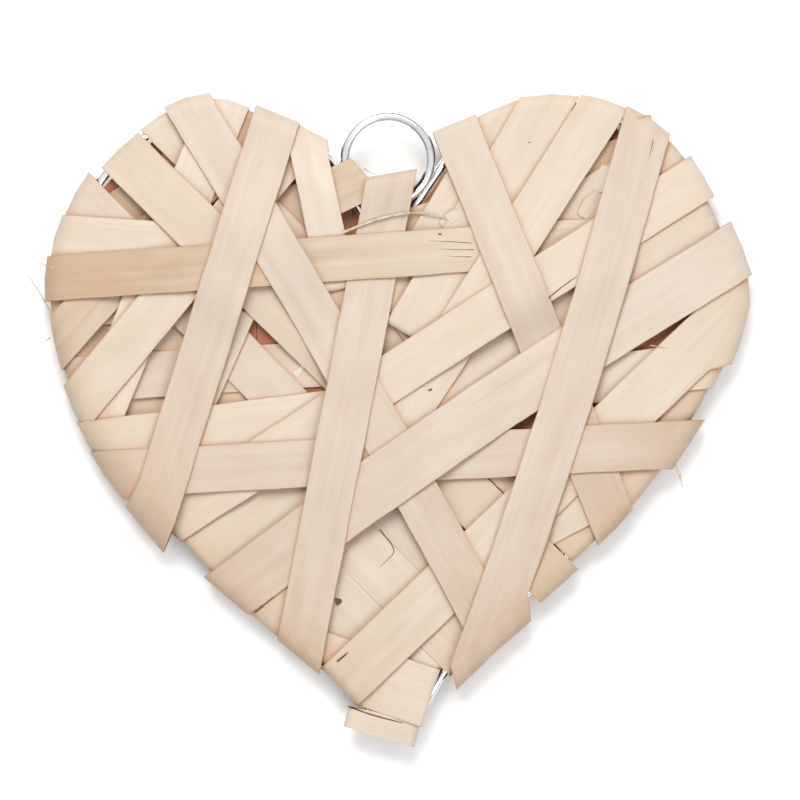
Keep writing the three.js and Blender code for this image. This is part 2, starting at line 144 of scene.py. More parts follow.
class Tree:
    """A thin helper that adds nodes to a node tree and joins them."""

    def __init__(self, tree: bpy.types.NodeTree) -> None:
        """Keeps the tree that the nodes go into."""
        self.tree = tree

    def node(self, kind: str, inputs: dict | None = None, **settings: object) -> bpy.types.Node:
        """Adds a node.

        Args:
            kind: the node's type name.
            inputs: values or output sockets by input name or index.
            settings: properties of the node itself.

        Returns:
            The new node.
        """
        made = self.tree.nodes.new(kind)
        for name, value in settings.items():
            setattr(made, name, value)
        for key, value in (inputs or {}).items():
            if isinstance(value, bpy.types.NodeSocket):
                self.tree.links.new(value, made.inputs[key])
            else:
                made.inputs[key].default_value = value
        return made

    def join(self, value: bpy.types.NodeSocket, node: bpy.types.Node, name: str) -> None:
        """Leads a value to a node's input of the given name."""
        self.tree.links.new(value, node.inputs[name])

    def math(self, operation: str, *values: object) -> bpy.types.NodeSocket:
        """Adds a Math node and returns its result."""
        return self.node("ShaderNodeMath", dict(enumerate(values)), operation=operation).outputs[0]

    def blend(self, share: object, first: object, second: object) -> bpy.types.NodeSocket:
        """Mixes two colours by a share and returns the colour."""
        inputs = {0: share, 6: first, 7: second}
        return self.node("ShaderNodeMix", inputs, data_type="RGBA").outputs[2]

    def ramp(self, value: object, low: float, high: float) -> bpy.types.NodeSocket:
        """Maps low..high to 0..1, held at both ends, and returns the value."""
        inputs = {0: value, 1: low, 2: high, 3: 0.0, 4: 1.0}
        return self.node("ShaderNodeMapRange", inputs, interpolation_type="SMOOTHSTEP").outputs[0]


def rgba(colour: Rgb) -> tuple[float, float, float, float]:
    """Returns a colour with full alpha."""
    return (*colour, 1.0)


def new_material(name: str) -> tuple[bpy.types.Material, Tree, bpy.types.Node]:
    """Makes a material.

    Args:
        name: the material's name.

    Returns:
        The material, its node tree and its shader node.
    """
    material = bpy.data.materials.new(name)
    material.use_nodes = True
    return material, Tree(material.node_tree), material.node_tree.nodes["Principled BSDF"]


# Finishes


@dataclass(frozen=True)
class ChipFinish:
    """Bare peeled wood: faint lines along the strip, slow changes of tone and darker cut edges with a
    painted shadow line.

    The grain map is in millimetres along and across the strip, and the span map runs from -1 to 1
    across it. The rim attribute paints shade on the wood at a fold, where the strip curves away from
    the light. The crevice attribute paints shade beside and under other strips, and the inside
    attribute paints shade on the faces that look into the winding.
    """

    tone: Tone
    light: Rgb
    deep: Rgb
    # rim: painted shade on a fold, where the strip curves away from the light.
    rim: Rgb
    line: Rgb
    # inside: painted shade on the faces that look into the winding, where little light reaches.
    inside: Rgb = (0.36, 0.13, 0.065)
    # crevice: painted shade beside and under other strips.
    crevice_shade: Rgb = (0.52, 0.26, 0.12)
    crevice_shade_range: Range = (0.2, 1.0)
    crevice_shade_share: float = 0.62
    # edge: the darker cut edge, with a painted shadow line along it.
    edge: Rgb = (0.44, 0.23, 0.11)
    shade_range: Range = (0.2, 0.85)
    grain_along: float = 48.0
    grain_across: float = 0.34
    grain_range: Range = (0.5, 0.85)
    grain_share: float = 0.2
    band_along: float = 80.0
    band_across: float = 2.2
    cloud_size: float = 15.0
    fleck_along: float = 5.0
    fleck_across: float = 0.16
    fleck_range: Range = (0.62, 0.78)
    fleck_share: float = 0.12
    edge_shade_start: float = 0.95
    edge_shade_share: float = 0.6
    # How much of the painted fold shade shows, uneven along the fold.
    fold_shade_least: float = 0.4
    fold_shade_spread: float = 0.8
    bump_depth: float = 0.025 * MM
    roughness: float = 0.6
    rough_spread: float = 0.16
    sheen: float = 0.3

    def material(self) -> bpy.types.Material:
        """Makes the finish.

        Returns:
            The finish as a material.
        """
        material, tree, shader = new_material(self.tone.value)
        grain = self._noise(tree, self.grain_along, self.grain_across, 3.0)
        band = self._noise(tree, self.band_along, self.band_across, 2.0)
        cloud = self._noise(tree, self.cloud_size, self.cloud_size / 3, 2.0)
        fleck = self._noise(tree, self.fleck_along, self.fleck_across, 0.0)
        tone, rim, inside, crevice_shade = (
            tree.node("ShaderNodeAttribute", attribute_name=name).outputs["Fac"]
            for name in ("tone", "rim", "inside", "crevice_shade")
        )
        shade = tree.math("MULTIPLY_ADD", band, 0.5, tree.math("MULTIPLY", cloud, 0.5))
        shade = tree.math("ADD", shade, tree.math("SUBTRACT", tone, MIDDLE_TONE))
        colour = tree.blend(tree.ramp(shade, *self.shade_range), rgba(self.light), rgba(self.deep))
        # Painted shade on the folds, uneven along them.
        uneven_fold_shade = tree.math("MULTIPLY_ADD", cloud, self.fold_shade_spread, self.fold_shade_least)
        colour = tree.blend(tree.math("MULTIPLY", rim, uneven_fold_shade), colour, rgba(self.rim))
        # Painted shade beside and under other strips.
        painted_crevice_shade = tree.math("MULTIPLY", tree.ramp(crevice_shade, *self.crevice_shade_range), self.crevice_shade_share)
        colour = tree.blend(painted_crevice_shade, colour, rgba(self.crevice_shade))
        lines = tree.math("MULTIPLY", tree.ramp(grain, *self.grain_range), self.grain_share)
        flecks = tree.math("MULTIPLY", tree.ramp(fleck, *self.fleck_range), self.fleck_share)
        # The cut edges, darker, with a painted shadow line along them.
        edge = tree.math("MULTIPLY", self._edge(tree), self.edge_shade_share)
        colour = tree.blend(tree.math("ADD", lines, flecks), colour, rgba(self.line))
        colour = tree.blend(edge, colour, rgba(self.edge))
        # Painted shade on the faces that look into the winding.
        colour = tree.blend(inside, colour, rgba(self.inside))
        bump = tree.node("ShaderNodeBump", {"Height": grain, "Distance": self.bump_depth})
        least = self.roughness - self.rough_spread / 2
        rough = tree.math("MULTIPLY_ADD", grain, self.rough_spread, least)
        tree.join(colour, shader, "Base Color")
        tree.join(bump.outputs[0], shader, "Normal")
        tree.join(rough, shader, "Roughness")
        shader.inputs["Specular IOR Level"].default_value = self.sheen
        return material

    def _edge(self, tree: Tree) -> bpy.types.NodeSocket:
        """Finds how near the strip's long edges a place is.

        Args:
            tree: the material's tree.

        Returns:
            The nearness, 1 on the edge itself.
        """
        span = tree.node("ShaderNodeUVMap", uv_map=SPAN_UV).outputs[0]
        across = tree.node("ShaderNodeSeparateXYZ", {0: span}).outputs[1]
        return tree.ramp(tree.math("ABSOLUTE", across), self.edge_shade_start, 1.0)

    @staticmethod
    def _noise(tree: Tree, along: float, across: float, detail: float) -> bpy.types.NodeSocket:
        """Noise with cells of the given length and width along the strip.

        Args:
            tree: the material's tree.
            along: length of a cell along the strip, in millimetres.
            across: width of a cell across the strip, in millimetres.
            detail: octaves of finer noise.

        Returns:
            The noise, about 0.5 in the mean.
        """
        place = tree.node("ShaderNodeUVMap", uv_map=GRAIN_UV).outputs[0]
        scaled = tree.node("ShaderNodeMapping", {0: place, 3: (1 / along, 1 / across, 1.0)})
        inputs = {"Vector": scaled.outputs[0], "Scale": 1.0, "Detail": detail, "Roughness": 0.55}
        return tree.node("ShaderNodeTexNoise", inputs).outputs[0]


@dataclass(frozen=True)
class WireFinish:
    """Bright drawn steel, with a little haze where it was handled."""

    slot: str = "wire"
    bright: Rgb = (0.86, 0.87, 0.89)
    dull: Rgb = (0.62, 0.63, 0.65)
    roughness: float = 0.16
    haze_scale: float = 220.0
    haze_range: Range = (0.45, 0.8)
    haze_roughness: float = 0.14

    def material(self) -> bpy.types.Material:
        """Makes the finish.

        Returns:
            The finish as a material.
        """
        material, tree, shader = new_material("bright_wire")
        place = tree.node("ShaderNodeTexCoord").outputs["Object"]
        haze = tree.node("ShaderNodeTexNoise", {"Vector": place, "Scale": self.haze_scale}).outputs[0]
        haze = tree.ramp(haze, *self.haze_range)
        rough = tree.math("MULTIPLY_ADD", haze, self.haze_roughness, self.roughness)
        colour = tree.blend(haze, rgba(self.bright), rgba(self.dull))
        tree.join(colour, shader, "Base Color")
        tree.join(rough, shader, "Roughness")
        shader.inputs["Metallic"].default_value = 1.0
        return material


@dataclass(frozen=True)
class FibreFinish:
    """Dry, streaked wood of the loose fibres, or painted shade in splits, holes and notches and the dark
    of knots and specks.
    """

    name: str
    light: Rgb
    deep: Rgb
    streak_scale: float = 900.0
    streak_range: Range = (0.35, 0.65)
    bump_depth: float = 0.02 * MM
    roughness: float = 0.7

    def material(self) -> bpy.types.Material:
        """Makes the finish.

        Returns:
            The finish as a material.
        """
        material, tree, shader = new_material(self.name)
        place = tree.node("ShaderNodeTexCoord").outputs["Object"]
        inputs = {"Vector": place, "Scale": self.streak_scale, "Detail": 2.0}
        streak = tree.node("ShaderNodeTexNoise", inputs).outputs[0]
        colour = tree.blend(tree.ramp(streak, *self.streak_range), rgba(self.light), rgba(self.deep))
        bump = tree.node("ShaderNodeBump", {"Height": streak, "Distance": self.bump_depth})
        tree.join(colour, shader, "Base Color")
        tree.join(bump.outputs[0], shader, "Normal")
        shader.inputs["Roughness"].default_value = self.roughness
        return material


# Each finish's rim colour is the painted shade at the folds.
CHIP_FINISHES = (
    ChipFinish(
        Tone.CREAM,
        light=(0.575, 0.50, 0.415),
        deep=(0.51, 0.415, 0.32),
        rim=(0.46, 0.325, 0.21),
        line=(0.33, 0.21, 0.125),
    ),
    ChipFinish(
        Tone.PINK,
        light=(0.55, 0.47, 0.395),
        deep=(0.47, 0.37, 0.285),
        rim=(0.445, 0.30, 0.195),
        line=(0.30, 0.18, 0.115),
    ),
    ChipFinish(
        Tone.TAN,
        light=(0.53, 0.445, 0.35),
        deep=(0.43, 0.30, 0.195),
        rim=(0.405, 0.26, 0.155),
        line=(0.27, 0.155, 0.09),
    ),
    ChipFinish(
        Tone.PALE,
        light=(0.59, 0.525, 0.445),
        deep=(0.545, 0.45, 0.355),
        rim=(0.49, 0.356, 0.243),
        line=(0.34, 0.225, 0.145),
    ),
)
FIBRE_FINISH = FibreFinish("loose_fibre", light=(0.62, 0.51, 0.38), deep=(0.46, 0.36, 0.26))
# Painted shade for the hollows of splits, holes, slots and notches, and the dark colour of the knot and
# specks.
SPLIT_SHADE_AND_KNOT_FINISH = FibreFinish("split_shade_and_knot", light=(0.16, 0.08, 0.04), deep=(0.07, 0.03, 0.015))


# The heart's wire in plan


@dataclass(frozen=True)
class HeartOutline:
    """The run of the heart's wire, through marks taken anticlockwise from the cleft.

    steps: points from one mark to the next where the strips' folds are looked for.
    """

    marks: tuple[Point, ...]
    steps: int = 2

    def run(self, steps: int) -> np.ndarray:
        """Points of a closed centripetal curve through the marks.

        Args:
            steps: points from one mark to the next.

        Returns:
            An array of plan points in millimetres.
        """
        marks = np.array(self.marks)
        count = len(marks)
        points = []
        for i in range(count):
            a, b, c, d = (marks[(i + k) % count] for k in (-1, 0, 1, 2))
            gaps = [math.sqrt(np.linalg.norm(q - p)) for p, q in ((a, b), (b, c), (c, d))]
            first = (b - a) / gaps[0] - (c - a) / (gaps[0] + gaps[1]) + (c - b) / gaps[1]
            last = (c - b) / gaps[1] - (d - b) / (gaps[1] + gaps[2]) + (d - c) / gaps[2]
            first, last = first * gaps[1], last * gaps[1]
            for k in range(steps):
                t = k / steps
                square = -3 * b + 3 * c - 2 * first - last
                cube = 2 * b - 2 * c + first + last
                points.append(b + first * t + square * t * t + cube * t * t * t)
        return np.array(points)

    def outward(self, points: np.ndarray) -> np.ndarray:
        """Finds the outward directions of a run.

        Args:
            points: the run's points.

        Returns:
            A unit direction for each point.
        """
        along = np.roll(points, -1, axis=0) - np.roll(points, 1, axis=0)
        along /= np.linalg.norm(along, axis=1)[:, None]
        return np.stack([along[:, 1], -along[:, 0]], axis=1)


@dataclass
class Rim:
    """The outline with its outward directions, for finding where a strip folds."""

    outline: HeartOutline
    points: np.ndarray = field(init=False)
    outward: np.ndarray = field(init=False)

    def __post_init__(self) -> None:
        """Works out the points and the directions once."""
        self.points = self.outline.run(self.outline.steps)
        self.outward = self.outline.outward(self.points)

    def meet(
        self, origin: np.ndarray, direction: np.ndarray, wanted: float
    ) -> tuple[float, np.ndarray] | None:
        """Finds where a line meets the rim.

        Args:
            origin: a point of the line.
            direction: its unit direction.
            wanted: distance along the line near which the meeting is looked for.

        Returns:
            The distance along the line and the outward direction there, or None.
        """
        best = None
        count = len(self.points)
        for i in range(count):
            start, end = self.points[i], self.points[(i + 1) % count]
            side = end - start
            turn = cross(direction, side)
            if abs(turn) < PARALLEL:
                continue
            along = cross(start - origin, side) / turn
            share = cross(start - origin, direction) / turn
            if not 0 <= share < 1:
                continue
            if best is None or abs(along - wanted) < abs(best[0] - wanted):
                outward = self.outward[i] * (1 - share) + self.outward[(i + 1) % count] * share
                best = (along, unit(outward))
        return best


# Strips


@dataclass(frozen=True)
class StripPlan:
    """Where one strip runs over the front, its width and how its ends are made.

    square: the end folds square across the strip. slant: how far such an end leans, along per
    across. bow: sideways bend in the middle. is_open: the second end is cut inside the winding.
    taper: the width at each end as a share of the full width. tones: how much darker than usual
    the wood is at each end, or lighter below zero. extra: how much wider the wood is than its solid.
    """

    name: str
    ends: tuple[Point, Point]
    width: float
    tone: Tone
    square: tuple[bool, bool] = (False, False)
    slant: tuple[float, float] = (0.0, 0.0)
    bow: float = 0.0
    is_open: bool = False
    taper: tuple[float, float] = (1.0, 1.0)
    tones: tuple[float, float] = (0.0, 0.0)
    extra: float = 0.0

    @property
    def node(self) -> str:
        """The name of the solid that this strip replaces."""
        return f"chip_{self.name}"

    @property
    def full_width(self) -> float:
        """The width of the wood itself."""
        return self.width + self.extra


@dataclass
class ChipStrip:
    """One strip of peeled wood: over the front, round the wire and back behind.

    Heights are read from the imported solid, save near the folds and past its edges. The wood is
    cupped across, waves softly, and its edges wander and fray.
    """

    plan: StripPlan
    rim: Rim
    shift: np.ndarray
    seed: int
    thickness: float = 0.36
    step: float = 1.2
    least_steps: int = 6
    end_clear: float = 1.6
    clear_limit: float = 0.2
    edge_pull: float = 0.97
    end_ease: int = 4
    taper_marks: tuple[float, ...] = (0, 0.25, 0.75, 1)
    tail_length: float = 12.0
    fold_steps: int = 14
    skew_limit: float = 3.2
    least_out: float = 0.2
    smoothing: float = 2.2
    cup: float = 0.13
    wave: float = 0.08
    wave_size: float = 17.0
    edge_wander: float = 0.16
    edge_wander_size: float = 9.0
    edge_spread: float = 3.0
    fray: float = 0.05
    fray_size: float = 1.6
    # Painted shade at the folds: some at every fold, more at folds at the bottom, which face away from the
    # key light.
    fold_shade_fade: float = 4.5
    low_fold_shade_fade: float = 20.0
    fold_shade_share: float = 0.12
    low_fold_shade_shares: tuple[float, float] = (0.43, 0.45)

    def __post_init__(self) -> None:
        """Works out the strip's frame in plan and its fold lines."""
        start, end = (np.array(p) for p in self.plan.ends)
        self.direction = unit(end - start)
        self.side = np.array([-self.direction[1], self.direction[0]])
        self.middle = (start + end) / 2
        self.half = float(np.linalg.norm(end - start)) / 2
        self.length = 2 * self.half
        self.tail = min(1.0, self.tail_length / self.length) if self.plan.is_open else 1.0
        self.folds = [self._fold_line(0), self._fold_line(1)]
        self.random = np.random.default_rng(self.seed)
        self.offset = self.random.uniform(0, 900, 3)

    def _fold_line(self, end: int) -> list[tuple[float, np.ndarray]]:
        """Finds the fold at one end.

        Args:
            end: the strip's end, 0 or 1.

        Returns:
            The distance along the strip and the outward direction for each column.
        """
        away = 1 if end else -1
        line = []
        for edge in EDGE_SHARES:
            across = edge * self.plan.width / 2
            met = self.rim.meet(self.middle + self.side * across, self.direction, away * self.half)
            if self.plan.square[end] or (self.plan.is_open and end) or met is None:
                met = (away * self.half + self.plan.slant[end] * across, self.direction * away)
            line.append(met)
        return line

    def _bow(self, along: float) -> float:
        """Returns the sideways bend at a distance along the strip."""
        share = along / self.length + 0.5
        return self.plan.bow * 4 * share * (1 - share)

    def _plan_point(self, share: float, column: int) -> np.ndarray:
        """Finds a point of the strip in plan.

        Args:
            share: the share of the length between the folds.
            column: the column across the strip.

        Returns:
            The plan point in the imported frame.
        """
        start, end = self.folds[0][column][0], self.folds[1][column][0]
        along = start + (end - start) * share
        edge = EDGE_SHARES[column]
        spot = edge * self.edge_spread
        wander = noise.noise(Vector((along / self.edge_wander_size, spot, self.offset[0])))
        fray = noise.noise(Vector((along / self.fray_size, spot, self.offset[2])))
        half = self.plan.full_width / 2 * np.interp(share, self.taper_marks, self._widths())
        across = edge * (half + wander * self.edge_wander + fray * self.fray) + self._bow(along)
        return self.middle + self.direction * along + self.side * across + self.shift[:2]

    def _widths(self) -> tuple[float, float, float, float]:
        """Returns the shares of the width at the taper's marks."""
        return (self.plan.taper[0], 1.0, 1.0, self.plan.taper[1])

    def _heights(self, solid: BVHTree, plan: np.ndarray, face: int, length: float) -> np.ndarray:
        """Finds the heights of the outer face over the plan points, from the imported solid.

        Args:
            solid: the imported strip, in millimetres.
            plan: plan points by row and column.
            face: 1 for the front, -1 for the back.
            length: length of the pass.

        Returns:
            Distances from the heart's mid-plane by row and column.
        """
        rows, columns = plan.shape[:2]
        margin = min(self.clear_limit, self.end_clear / length)
        heights = np.full((rows, columns), np.nan)
        pull = self.edge_pull * self.plan.width / self.plan.full_width
        for i in range(rows):
            share = i / (rows - 1)
            if not margin <= share <= 1 - margin:
                continue
            for k in range(columns):
                x, y = plan[i, k] * pull + plan[i, columns // 2] * (1 - pull)
                hit = solid.ray_cast(Vector((x, y, face * FAR)), Vector((0, 0, -face)))
                if hit[0] is not None:
                    heights[i, k] = face * (hit[0].z - self.shift[2])
        for k in range(columns):
            known = np.flatnonzero(~np.isnan(heights[:, k]))
            heights[:, k] = np.interp(np.arange(rows), known, heights[known, k])
        return self._smoothed(heights, length)

    def _smoothed(self, heights: np.ndarray, length: float) -> np.ndarray:
        """Smooths heights along the strip.

        Args:
            heights: heights by row and column.
            length: length of the pass.

        Returns:
            The smoothed heights by row and column.
        """
        sigma = self.smoothing * (len(heights) - 1) / length
        reach = int(3 * sigma) + 1
        weights = np.exp(-0.5 * (np.arange(-reach, reach + 1) / sigma) ** 2)
        weights /= weights.sum()
        padded = np.pad(heights, ((reach, reach), (0, 0)), mode="edge")
        smooth = [np.convolve(padded[:, k], weights, mode="valid") for k in range(heights.shape[1])]
        return np.stack(smooth, axis=1)

    def _reach(self, solid: BVHTree, end: int) -> np.ndarray:
        """Finds how far a fold stands out from its fold line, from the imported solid.

        Args:
            solid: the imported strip, in millimetres.
            end: the strip's end, 0 or 1.

        Returns:
            The distance for each column. An edge column takes its neighbour's.
        """
        reaches = []
        row = 1.0 if end else 0.0
        for k in range(len(EDGE_SHARES)):
            column = min(max(k, 1), len(EDGE_SHARES) - 2)
            corner = self._plan_point(row, column)
            outward = self.folds[end][column][1]
            start = corner + outward * FAR
            ray = Vector((start[0], start[1], self.shift[2]))
            hit = solid.ray_cast(ray, Vector((-outward[0], -outward[1], 0)))
            far = np.nan if hit[0] is None else FAR - hit[3]
            reaches.append(far)
        found = np.array(reaches)
        known = np.flatnonzero(~np.isnan(found))
        return np.interp(np.arange(len(found)), known, found[known])

    def _surface(self, solid: BVHTree) -> "Band":
        """Works out the band from one end of the strip round to the other.

        Args:
            solid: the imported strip, in millimetres.

        Returns:
            The band's stations with what the finish needs at each.
        """
        columns = range(len(EDGE_SHARES))
        passes = {}
        for face, run in ((1, 1.0), (-1, self.tail)):
            length = self.length * run
            shares = np.linspace(0, run, max(self.least_steps, round(length / self.step)) + 1)
            plan = np.array([[self._plan_point(s, k) for k in columns] for s in shares])
            heights = self._heights(solid, plan, face, length)
            faces = self._pass(plan, heights, face)
            passes[face] = Band(*faces, self._fold_shade(shares), self._tones(shares)), heights
        (front, high), (back, low) = passes[1], passes[-1]
        bands = [front.turned(), self._fold(solid, 0, high[0], low[0]), back]
        if not self.plan.is_open:
            bands.append(self._fold(solid, 1, high[-1], low[-1]).turned())
        return Band.joined(bands)

    def _fold_shade(self, shares: np.ndarray) -> np.ndarray:
        """Finds the painted shade at the folds, by nearness to them, where the wood curves away from the
        light.

        Args:
            shares: shares of the length between the folds.

        Returns:
            The painted shade at each share, from 0 to 1. A fold at the bottom of the heart, turned away
            from the key light, is the darkest.
        """
        fold_shade_sum = np.zeros(len(shares))
        for end in (0, 1):
            if end and self.plan.is_open:
                continue
            away = np.abs(shares - end) * self.length
            low = max(0.0, -float(self.folds[end][len(EDGE_SHARES) // 2][1][1]))
            fold_shade_sum += np.exp(-away / self.fold_shade_fade) * (self.fold_shade_share + self.low_fold_shade_shares[0] * low)
            fold_shade_sum += np.exp(-away / self.low_fold_shade_fade) * self.low_fold_shade_shares[1] * low
        return np.minimum(fold_shade_sum, 1.0)

    def _tones(self, shares: np.ndarray) -> np.ndarray:
        """Returns the wood's tone at shares of the length, 0.5 in the mean."""
        return MIDDLE_TONE + np.interp(shares, (0, 1), self.plan.tones)

    def _pass(self, plan: np.ndarray, heights: np.ndarray, face: int) -> tuple[np.ndarray, np.ndarray]:
        """Makes the front or the back of the strip, cupped and with soft waves.

        Args:
            plan: plan points by row and column.
            heights: distances from the heart's mid-plane by row and column.
            face: 1 for the front, -1 for the back.

        Returns:
            The points of the outer face and of the inner face.
        """
        rows, columns = heights.shape
        faces = []
        for depth in (0.0, self.thickness):
            points = np.zeros((rows, columns, 3))
            points[:, :, :2] = plan
            for i in range(rows):
                ease = min(1.0, self.end_ease * min(i, rows - 1 - i) / rows)
                for k in range(columns):
                    place = plan[i, k] / self.wave_size
                    wave = noise.noise(Vector((place[0], place[1], self.offset[1] + face)))
                    lift = heights[i, k] + (self.wave * wave - self.cup * EDGE_SHARES[k] ** 2) * ease
                    points[i, k, 2] = self.shift[2] + face * (lift - depth)
            faces.append(points)
        return faces[0], faces[1]

    def _fold_way(self, end: int, column: int, reach: float) -> np.ndarray:
        """Finds which way a column runs at a fold, for each millimetre outward.

        Args:
            end: the strip's end, 0 or 1.
            column: the column across the strip.
            reach: how far the fold stands out.

        Returns:
            A plan direction: straight on along the strip, within a sideways limit.
        """
        outward = self.folds[end][column][1]
        away = self.direction * (1 if end else -1)
        out = float(away @ outward)
        skew = away - outward * out
        limit = self.skew_limit / max(reach * float(np.linalg.norm(skew)), TINY)
        return outward + skew * min(1 / max(out, self.least_out), limit)

    def _fold(self, solid: BVHTree, end: int, front: np.ndarray, back: np.ndarray) -> "Band":
        """Makes the band of one fold, from the front round to the back.

        Args:
            solid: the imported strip, in millimetres.
            end: the strip's end, 0 or 1.
            front: heights on the front at the fold.
            back: depths on the back at the fold.

        Returns:
            The fold's stations.
        """
        reach = self._reach(solid, end)
        stations = self.fold_steps - 1
        faces = []
        for depth in (0.0, self.thickness):
            points = np.zeros((stations, len(EDGE_SHARES), 3))
            for k in range(len(EDGE_SHARES)):
                corner = self._plan_point(float(end), k)
                way = self._fold_way(end, k, reach[k])
                for i in range(stations):
                    angle = math.pi * (i + 1) / self.fold_steps
                    lift = (front[k] if angle < math.pi / 2 else back[k]) - depth
                    points[i, k, :2] = corner + way * (reach[k] - depth) * math.sin(angle)
                    points[i, k, 2] = self.shift[2] + lift * math.cos(angle)
            faces.append(points)
        ends = np.full(stations, float(end))
        return Band(*faces, self._fold_shade(ends), self._tones(ends))

    def build(self, solid: BVHTree, others: BVHTree, finish: bpy.types.Material) -> bpy.types.Object:
        """Builds the strip.

        Args:
            solid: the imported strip, in millimetres.
            others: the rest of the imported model, in millimetres.
            finish: the strip's material.

        Returns:
            The finished piece.
        """
        band = self._surface(solid)
        mesh = band.mesh(self.plan.name, not self.plan.is_open)
        band.lay_maps(mesh, self.plan.width, self.thickness, self.offset[1:])
        band.lay_crevice_shade(mesh, others, self.shift[2])
        mesh.materials.append(finish)
        return placed(f"wood_{self.plan.name}", mesh)


@dataclass
class Band:
    """A thin band as two grids of points, outer and inner, by station and column.

    rim, the painted shade at the folds, and tone hold one number for each station.
    """

    outer: np.ndarray
    inner: np.ndarray
    rim: np.ndarray
    tone: np.ndarray

    def turned(self) -> "Band":
        """Returns the band with its stations in the opposite order."""
        return Band(self.outer[::-1], self.inner[::-1], self.rim[::-1], self.tone[::-1])

    @staticmethod
    def joined(bands: list["Band"]) -> "Band":
        """Returns bands joined end to end."""
        parts = zip(*((b.outer, b.inner, b.rim, b.tone) for b in bands))
        return Band(*(np.concatenate(part) for part in parts))

    def mesh(self, name: str, closed: bool) -> bpy.types.Mesh:
        """Makes the band's mesh, with its long edges sharp and its faces outward.

        Args:
            name: the mesh's name.
            closed: whether the last station joins on to the first.

        Returns:
            The mesh, in metres.
        """
        count, columns = self.outer.shape[:2]
        size = count * columns

        def at(row: int, column: int, layer: int) -> int:
            """Returns the index of a grid point on the outer (0) or inner (1) face."""
            return layer * size + (row % count) * columns + column

        faces = []
        last = columns - 1
        for i in range(count if closed else count - 1):
            for k in range(columns - 1):
                faces.append((at(i, k, 0), at(i + 1, k, 0), at(i + 1, k + 1, 0), at(i, k + 1, 0)))
                faces.append((at(i, k, 1), at(i, k + 1, 1), at(i + 1, k + 1, 1), at(i + 1, k, 1)))
            faces.append((at(i, 0, 1), at(i + 1, 0, 1), at(i + 1, 0, 0), at(i, 0, 0)))
            faces.append((at(i, last, 0), at(i + 1, last, 0), at(i + 1, last, 1), at(i, last, 1)))
        if not closed:
            for row, turned in ((0, False), (count - 1, True)):
                for k in range(columns - 1):
                    cap = (at(row, k, 1), at(row, k, 0), at(row, k + 1, 0), at(row, k + 1, 1))
                    faces.append(cap[::-1] if turned else cap)
        points = np.concatenate([self.outer.reshape(-1, 3), self.inner.reshape(-1, 3)]) * MM
        if signed_volume(points, faces) < 0:
            faces = [face[::-1] for face in faces]
        mesh = bpy.data.meshes.new(name)
        mesh.from_pydata(points.tolist(), [], faces)
        mesh.polygons.foreach_set("use_smooth", [True] * len(mesh.polygons))
        for edge in mesh.edges:
            a, b = edge.vertices
            same_layer = (a < size) == (b < size)
            same_column = a % columns == b % columns
            edge.use_edge_sharp = same_layer and same_column and a % columns in (0, last)
        return mesh

    def lay_maps(self, mesh: bpy.types.Mesh, width: float, thickness: float, offset: np.ndarray) -> None:
        """Writes the grain and span maps and the rim, tone and inside attributes.

        Args:
            mesh: the band's mesh.
            width: width of the band.
            thickness: thickness of the wood.
            offset: where the band's grain starts, along and across.
        """
        count, columns = self.outer.shape[:2]
        size = count * columns
        centre = self.outer[:, columns // 2]
        steps = np.linalg.norm(np.diff(centre, axis=0, append=centre[:1]), axis=1)
        along = np.concatenate([[0.0], np.cumsum(steps)])
        grain, span = mesh.uv_layers.new(name=GRAIN_UV), mesh.uv_layers.new(name=SPAN_UV)
        shares = np.linspace(-1.0, 1.0, columns)
        for face in mesh.polygons:
            rows = [(index % size) // columns for index in face.vertices]
            wraps = max(rows) - min(rows) > 1
            for loop in face.loop_indices:
                index = mesh.loops[loop].vertex_index
                row = (index % size) // columns
                row = count if wraps and row == 0 else row
                share = shares[index % columns]
                across = share * width / 2 + (thickness if index >= size else 0.0)
                grain.data[loop].uv = (along[row] + offset[0], across + offset[1])
                span.data[loop].uv = (along[row], share)
        # The rim attribute is painted shade at the folds.
        self._store(mesh, "rim", np.tile(np.repeat(self.rim, columns), 2))
        self._store(mesh, "tone", np.tile(np.repeat(self.tone, columns), 2))
        # The inner faces carry painted shade.
        self._store(mesh, "inside", np.repeat([0.0, 1.0], size))

    def lay_crevice_shade(self, mesh: bpy.types.Mesh, others: BVHTree, middle: float) -> None:
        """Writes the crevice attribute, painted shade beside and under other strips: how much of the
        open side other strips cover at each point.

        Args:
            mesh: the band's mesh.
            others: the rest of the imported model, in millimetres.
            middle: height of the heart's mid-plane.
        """
        shares = []
        count, columns = self.outer.shape[:2]
        for x, y, z in self.outer.reshape(-1, 3):
            side = 1.0 if z > middle else -1.0
            start = Vector((x, y, z + side * CREVICE_LIFT))
            blocked = 0.0
            for way in CREVICE_WAYS:
                look = Vector((way[0], way[1], way[2] * side))
                if others.ray_cast(start, look, CREVICE_REACH)[0] is not None:
                    blocked += way[2]
            shares.append(blocked / CREVICE_TOTAL)
        grid = np.array(shares).reshape(count, columns)
        for _ in range(CREVICE_ROUNDS):
            padded = np.pad(grid, 1, mode="edge")
            grid = (padded[:-2, 1:-1] + 2 * padded[1:-1, 1:-1] + padded[2:, 1:-1]) / 4
            padded = np.pad(grid, 1, mode="edge")
            grid = (padded[1:-1, :-2] + 2 * padded[1:-1, 1:-1] + padded[1:-1, 2:]) / 4
        self._store(mesh, "crevice_shade", np.tile(grid.ravel(), 2))

    @staticmethod
    def _store(mesh: bpy.types.Mesh, name: str, values: np.ndarray) -> None:
        """Stores one number for each point of the mesh."""
        layer = mesh.attributes.new(name, "FLOAT", "POINT")
        layer.data.foreach_set("value", values.astype(np.float32))


